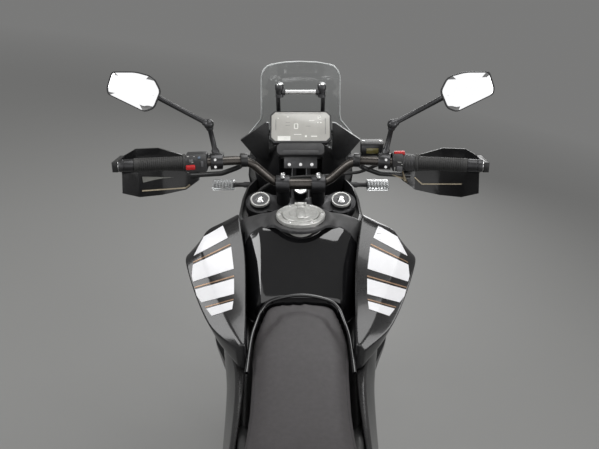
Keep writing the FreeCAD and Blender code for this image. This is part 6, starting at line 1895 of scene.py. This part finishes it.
radiator_parts = [block(on_radiator(0, 0, up), (254, 32, 9), 2.0, radiator_turn) for up in (-105.5, 105.5)]
radiator_parts += [block(on_radiator(side * 138.5, 0, 0), (27, 44, 210), 5.0, radiator_turn, 3)
                   for side in (-1, 1)]
radiator_parts += [lathed(((0, 8), (54, 8)), (side * 95.0, 1010, 630), (0, 52, 12), 20) for side in (-1, 1)]
radiator_parts.append(lathed(((0, 13), (5, 13), (6, 17), (10, 17), (11, 14)), on_radiator(138, 0, 104),
                             radiator_turn @ Vector((0, 0, 1)), 24))
piece("radiator_frame", together(*radiator_parts), radiator_black, "chassis", ("radiator",))
tubes = [block(on_radiator(0, 0, up), (252, 27, 2.2), 0.5, radiator_turn, 1) for up in range(-96, 97, 12)]
tubes.append(block(on_radiator(0, 0, 0), (252, 8, 208), 0.5, radiator_turn, 1))
piece("radiator_tubes", together(*tubes), core_grey, "chassis")
copies("radiator_fins", block((0, 0, 0), (0.7, 25, 204), 0.1, None, 1),
       [(on_radiator(x, 0, 0), radiator_turn) for x in range(-122, 123, 4)], core_grey, "chassis")

# Exhaust: warm tinted headers with flanges and nuts at the ports, and a brushed can with black ends,
# two bands and rows of rivets.
header_steel = finish("heat_tinted_steel", (0.26, 0.20, 0.155), 0.3, metallic=1.0, grain=60.0, relief=0.02,
                      spread=0.07, dust=0.12, tint=0.3)
can_steel = finish("brushed_can_steel", (0.36, 0.36, 0.355), 0.3, metallic=1.0, grain=1500.0, relief=0.1,
                   spread=0.06, dust=0.1)
softened("exhaust_header", "header_pipes", header_steel, "chassis", 1.5)
port_way = Vector((0, 55, -24)).normalized()
flanges, flange_nuts = [], []
for x in (-38, 38):
    port = Vector((x, 932, 663))
    flanges += [lathed(((0, 26), (7, 26), (8, 24)), port, port_way, 32),
                block(port + port_way * 4, (68, 8, 22), 3.0, port_way.to_track_quat("Y", "Z").to_matrix())]
    flange_nuts += [(port + port_way * 8 + Vector((side * 28, 0, 0)), port_way) for side in (-1, 1)]
piece("port_flanges", together(*flanges), black_steel, "chassis")
copies("flange_nuts", screw_head(6.0, 6.0, 0.4), flange_nuts, bright_steel, "chassis")
muffler_front, muffler_rear = Vector((196, 300, 512)), Vector((206, -96, 640))
muffler_way = (muffler_rear - muffler_front).normalized()
muffler_up = Vector((1, 0, 0)).cross(muffler_way).normalized() * -1
muffler_rows = ((0.0, 26, 26), (0.16, 46, 58), (0.9, 50, 66), (1.0, 40, 56))


def muffler_ring(share, grow=0.0, sides=48):
    rows = list(zip(muffler_rows, muffler_rows[1:]))
    (low, wide_low, tall_low), (high, wide_high, tall_high) = next(r for r in rows if share <= r[1][0]
                                                                   or r is rows[-1])
    run = (share - low) / (high - low)
    wide = (wide_low + (wide_high - wide_low) * run) * 0.985 + grow
    tall = (tall_low + (tall_high - tall_low) * run) * 0.985 + grow
    centre = muffler_front.lerp(muffler_rear, share)
    return [centre + Vector((1, 0, 0)) * wide * math.cos(turn) + muffler_up * tall * math.sin(turn)
            for turn in (2 * math.pi * n / sides for n in range(sides))]


def muffler_run(*rows):
    return rings_joined([muffler_ring(share, grow) for share, grow in rows])


piece("muffler_can", muffler_run((0.17, -2), (0.175, 0), (0.3, 0), (0.5, 0), (0.7, 0), (0.86, 0),
                                 (0.865, -2)), can_steel, "chassis", ("muffler",))
muffler_ends = [muffler_run((0.0, 0), (0.04, 0), (0.08, 0), (0.12, 0), (0.158, 0.4), (0.18, 0.6),
                            (0.185, -1)), muffler_run((0.85, -1), (0.855, 1.0), (0.9, 1.0), (0.94, 0.5),
                                                      (0.97, -0.5), (0.985, -3), (0.995, -8), (1.0, -14)),
                hollow_ring(((-20, 20.5), (16, 20.5), (18, 19.5), (18, 17.6), (16, 17), (-20, 17)),
                            muffler_rear, muffler_way, 40)]
piece("muffler_ends", together(*muffler_ends), cover_black, "chassis")
muffler_bands = [muffler_run((share - 0.013, -1), (share - 0.012, 1.6), (share + 0.012, 1.6),
                             (share + 0.013, -1)) for share in (0.24, 0.82)]
piece("muffler_bands", together(*muffler_bands), bright_steel, "chassis")
rivets = []
for share in (0.2, 0.84):
    ring = muffler_ring(share, 0.4, 16)
    centre = muffler_front.lerp(muffler_rear, share)
    rivets += [(point, point - centre) for point in ring]
copies("muffler_rivets", lathed(((-1, 3), (0.4, 3), (1.6, 2), (2, 0.5)), (0, 0, 0), (0, 0, 1), 12), rivets,
       bright_steel, "chassis")

# Rear shock: a coil spring between two seats on a round body, with eyes at its ends. It stands
# between the swingarm and the frame.
shock_foot, shock_top = Vector((0, 422, 372)), Vector((0, 425, 682))
shock_axis = (shock_top - shock_foot).normalized()
shock_length = (shock_top - shock_foot).length
spring_graphite = finish("spring_graphite", (0.16, 0.16, 0.165), 0.3, metallic=0.4, grain=800.0,
                         relief=0.08, dust=0.12, coat=0.3)
shock_side = Vector((1, 0, 0))
shock_over = shock_axis.cross(shock_side)
coil_turns, coil_steps = 8.5, 20
coil = []
for step in range(int(coil_turns * coil_steps) + 1):
    run = step / (coil_turns * coil_steps)
    turn = 2 * math.pi * coil_turns * run
    coil.append(shock_foot + shock_axis * shock_length * (0.185 + 0.59 * run)
                + (shock_side * math.cos(turn) + shock_over * math.sin(turn)) * 28)
piece("shock_spring", swept(coil, 5.8, 12), spring_graphite, "chassis")
damper = [(0.0, 13), (0.14, 13), (0.141, 33), (0.15, 36), (0.185, 36), (0.19, 25), (0.5, 25), (0.501, 20),
          (0.775, 20), (0.78, 35), (0.785, 36), (0.8, 36), (0.801, 34), (0.812, 34), (0.813, 36),
          (0.828, 36), (0.83, 25), (0.9, 22), (0.96, 14), (1.0, 13)]
shock_body = [lathed([(share * shock_length, radius) for share, radius in damper], shock_foot, shock_axis,
                     40)]
for end, reach in ((shock_foot, 17), (shock_top, 24)):
    shock_body.append(lathed(((-11.5, 14), (-10, 16), (10, 16), (11.5, 14)), end, (1, 0, 0), 32))
    shock_body.append(lathed(((-reach, 5), (reach, 5)), end, (1, 0, 0), 20))
piece("shock_body", together(*shock_body), black_steel, "chassis", ("rear_shock",))

# Calipers: eased castings in satin black. Two bright screws stand on the outer face of each, in line
# along the block.
caliper_black = finish("caliper_black", (0.032, 0.032, 0.034), 0.36, metallic=0.55, grain=1000.0,
                       relief=0.2, wear=0.3, dust=0.18)
softened("front_caliper", "front_caliper_casting", caliper_black, "steering", 3.0, 3)
softened("rear_caliper", "rear_caliper_casting", caliper_black, "chassis", 2.6, 3)
for name, body, axle, radius, angle, face, spread_out in (
        ("front_caliper_screws", "steering", front_axle_middle, 148.0, -68.0, -92.0, 34.0),
        ("rear_caliper_screws", "chassis", rear_middle, 110.0, 38.0, 110.0, 26.0)):
    turn = math.radians(angle)
    centre = axle + Vector((0, radius * math.sin(turn), radius * math.cos(turn)))
    along_block = Vector((0, math.cos(turn), -math.sin(turn)))
    outward = math.copysign(1, face)
    places = [(Vector((face, 0, 0)) + centre + along_block * spread_out * share, (outward, 0, 0))
              for share in (-1, 1)]
    copies(name, screw_head(7.0, 5.0), places, bright_steel, body)

# Skid plate, mudguards and plate holder: bent alloy with screws in its sides, and moulded black
# plastic. The holder is plain, with two screws for a plate.
skid_alloy = finish("brushed_skid_alloy", (0.17, 0.17, 0.172), 0.36, metallic=0.9, grain=700.0, relief=0.12,
                    spread=0.08, wear=0.4, dust=0.2)
softened("skid_plate", "skid_plate_folded", skid_alloy, "chassis", 1.2, 2)
skid_screws = [((side * 128.0, y, z), (side, 0, 0)) for side in (-1, 1)
               for y, z in ((640, 272), (870, 276), (948, 352))]
copies("skid_screws", screw_head(6.0, 4.0), skid_screws, black_steel, "chassis")
for node, body in (("front_mudguard", "steering"), ("rear_mudguard", "chassis")):
    softened(node, node + "_moulding", matt_black, body, 1.4, 3)
guard_screws = [(steer_point(side * 62.0, ahead, up), (side, 0, 0)) for side in (-1, 1)
                for ahead, up in ((20.0, 300.0), (20.0, 334.0))]
copies("mudguard_screws", screw_head(4.5, 3.5), guard_screws, bright_steel, "steering")
plate_way = Vector((0, -76, 12)).normalized()
holder_screws = [((x, -348.2, 621.7), plate_way) for x in (-42, 42)]
copies("plate_screws", screw_head(4.0, 3.0), holder_screws, bright_steel, "chassis")

# Tail lamp: a black case with a ribbed red lens. A small round reflector of the same plastic sits
# under it on the plate holder.
red_lens = finish("red_lens", (0.42, 0.004, 0.006), 0.09, grain=300.0, relief=0.02, spread=0.03, dust=0.04,
                  coat=1.0, tint=0.06)
lamp_outline = [(-206, 838), (-206, 896), (-228, 890.5), (-233, 842.5)]
lens_outline = [(-214, 845), (-214, 890), (-230.5, 886.5), (-237.5, 846)]
piece("tail_lamp_case", eased(pushed([(-56, y, z) for y, z in lamp_outline], (112, 0, 0)), 4.0, 3),
      switch_matt, "chassis", ("tail_lamp",))
lens_parts = [eased(pushed([(-51, y, z) for y, z in lens_outline], (102, 0, 0)), 3.0, 3)]
for share in (0.2, 0.4, 0.6, 0.8):
    lens_parts.append(block((0, -237.4 + 7.0 * share, 846 + 40.5 * share), (90, 1.6, 1.4), 0.4, None, 1))
lens_parts.append(lathed(((0, 17), (3, 17), (4, 15)), (0, -341, 642), (0, -1, 0.16), 32))
piece("tail_lamp_lens", together(*lens_parts), red_lens, "chassis")

# Rack: deck and grab handles in textured black. Bright screws stand on the deck and at the front of
# each handle.
rack_black = finish("rack_textured_black", (0.030, 0.030, 0.031), 0.48, metallic=0.3, grain=1300.0,
                    relief=0.6, spread=0.06, wear=0.2, dust=0.15)
softened("rear_rack", "rear_rack_cast", rack_black, "chassis", 1.8, 3)
rack_screws = [((side * x, y, 932), (0, 0, 1)) for side in (-1, 1)
               for x, y in ((80, 8), (80, -200), (24, 8), (24, -200))]
rack_screws += [((side * 118.0, 188, 849), (side * 0.3, 0, 1)) for side in (-1, 1)]
copies("rack_screws", screw_head(6.0, 4.0), rack_screws, bright_steel, "chassis")

# Foot rests and levers: toothed steel rests for the rider, with rubber sleeves on the rear ones and
# on the gear lever.
rest_steel = finish("foot_rest_steel", (0.16, 0.16, 0.16), 0.4, metallic=0.9, grain=900.0, relief=0.2,
                    wear=0.4, dust=0.2)
softened("foot_rests", "foot_rests_forged", rest_steel, "chassis", 1.6, 2)
softened("foot_levers", "foot_levers_forged", rest_steel, "chassis", 1.6, 2)
tooth = rings_joined([[Vector((x * size, y * size, z)) for x, y in ((-3, -4), (3, -4), (3, 4), (-3, 4))]
                      for z, size in ((-1, 1.0), (0, 1.0), (4.5, 0.35))])
teeth = [((side * x, y, 352.0), (0, 0, 1)) for side in (-1, 1) for x in range(152, 220, 9)
         for y in (483.5, 522.5)]
teeth += [((x, y, 324.0), (0, 0, 1)) for x in range(165, 200, 10) for y in (721.0, 734.0, 747.0)]
copies("rest_teeth", tooth, teeth, rest_steel, "chassis", smooth=20)
sleeve_rows = [(-40, 12.5)]
for ring in range(8):
    sleeve_rows += [(-38 + ring * 10, 12.6), (-37 + ring * 10, 13.9), (-32 + ring * 10, 13.9),
                    (-31 + ring * 10, 12.6)]
rubbers = [lathed(sleeve_rows, (side * 186.0, 214, 500), (side, 0, 0), 28) for side in (-1, 1)]
rubbers.append(lathed([(-18, 8.5), (-17, 10), (-6, 10), (-5, 9), (5, 9), (6, 10), (18, 10), (19, 8.5)],
                      (-177, 768, 331), (-1, 0, 0), 24))
rubbers += [block((side * 184.0, 503, 353), (58, 24, 5), 1.5) for side in (-1, 1)]
piece("rest_rubbers", together(*rubbers), dark_rubber, "chassis")
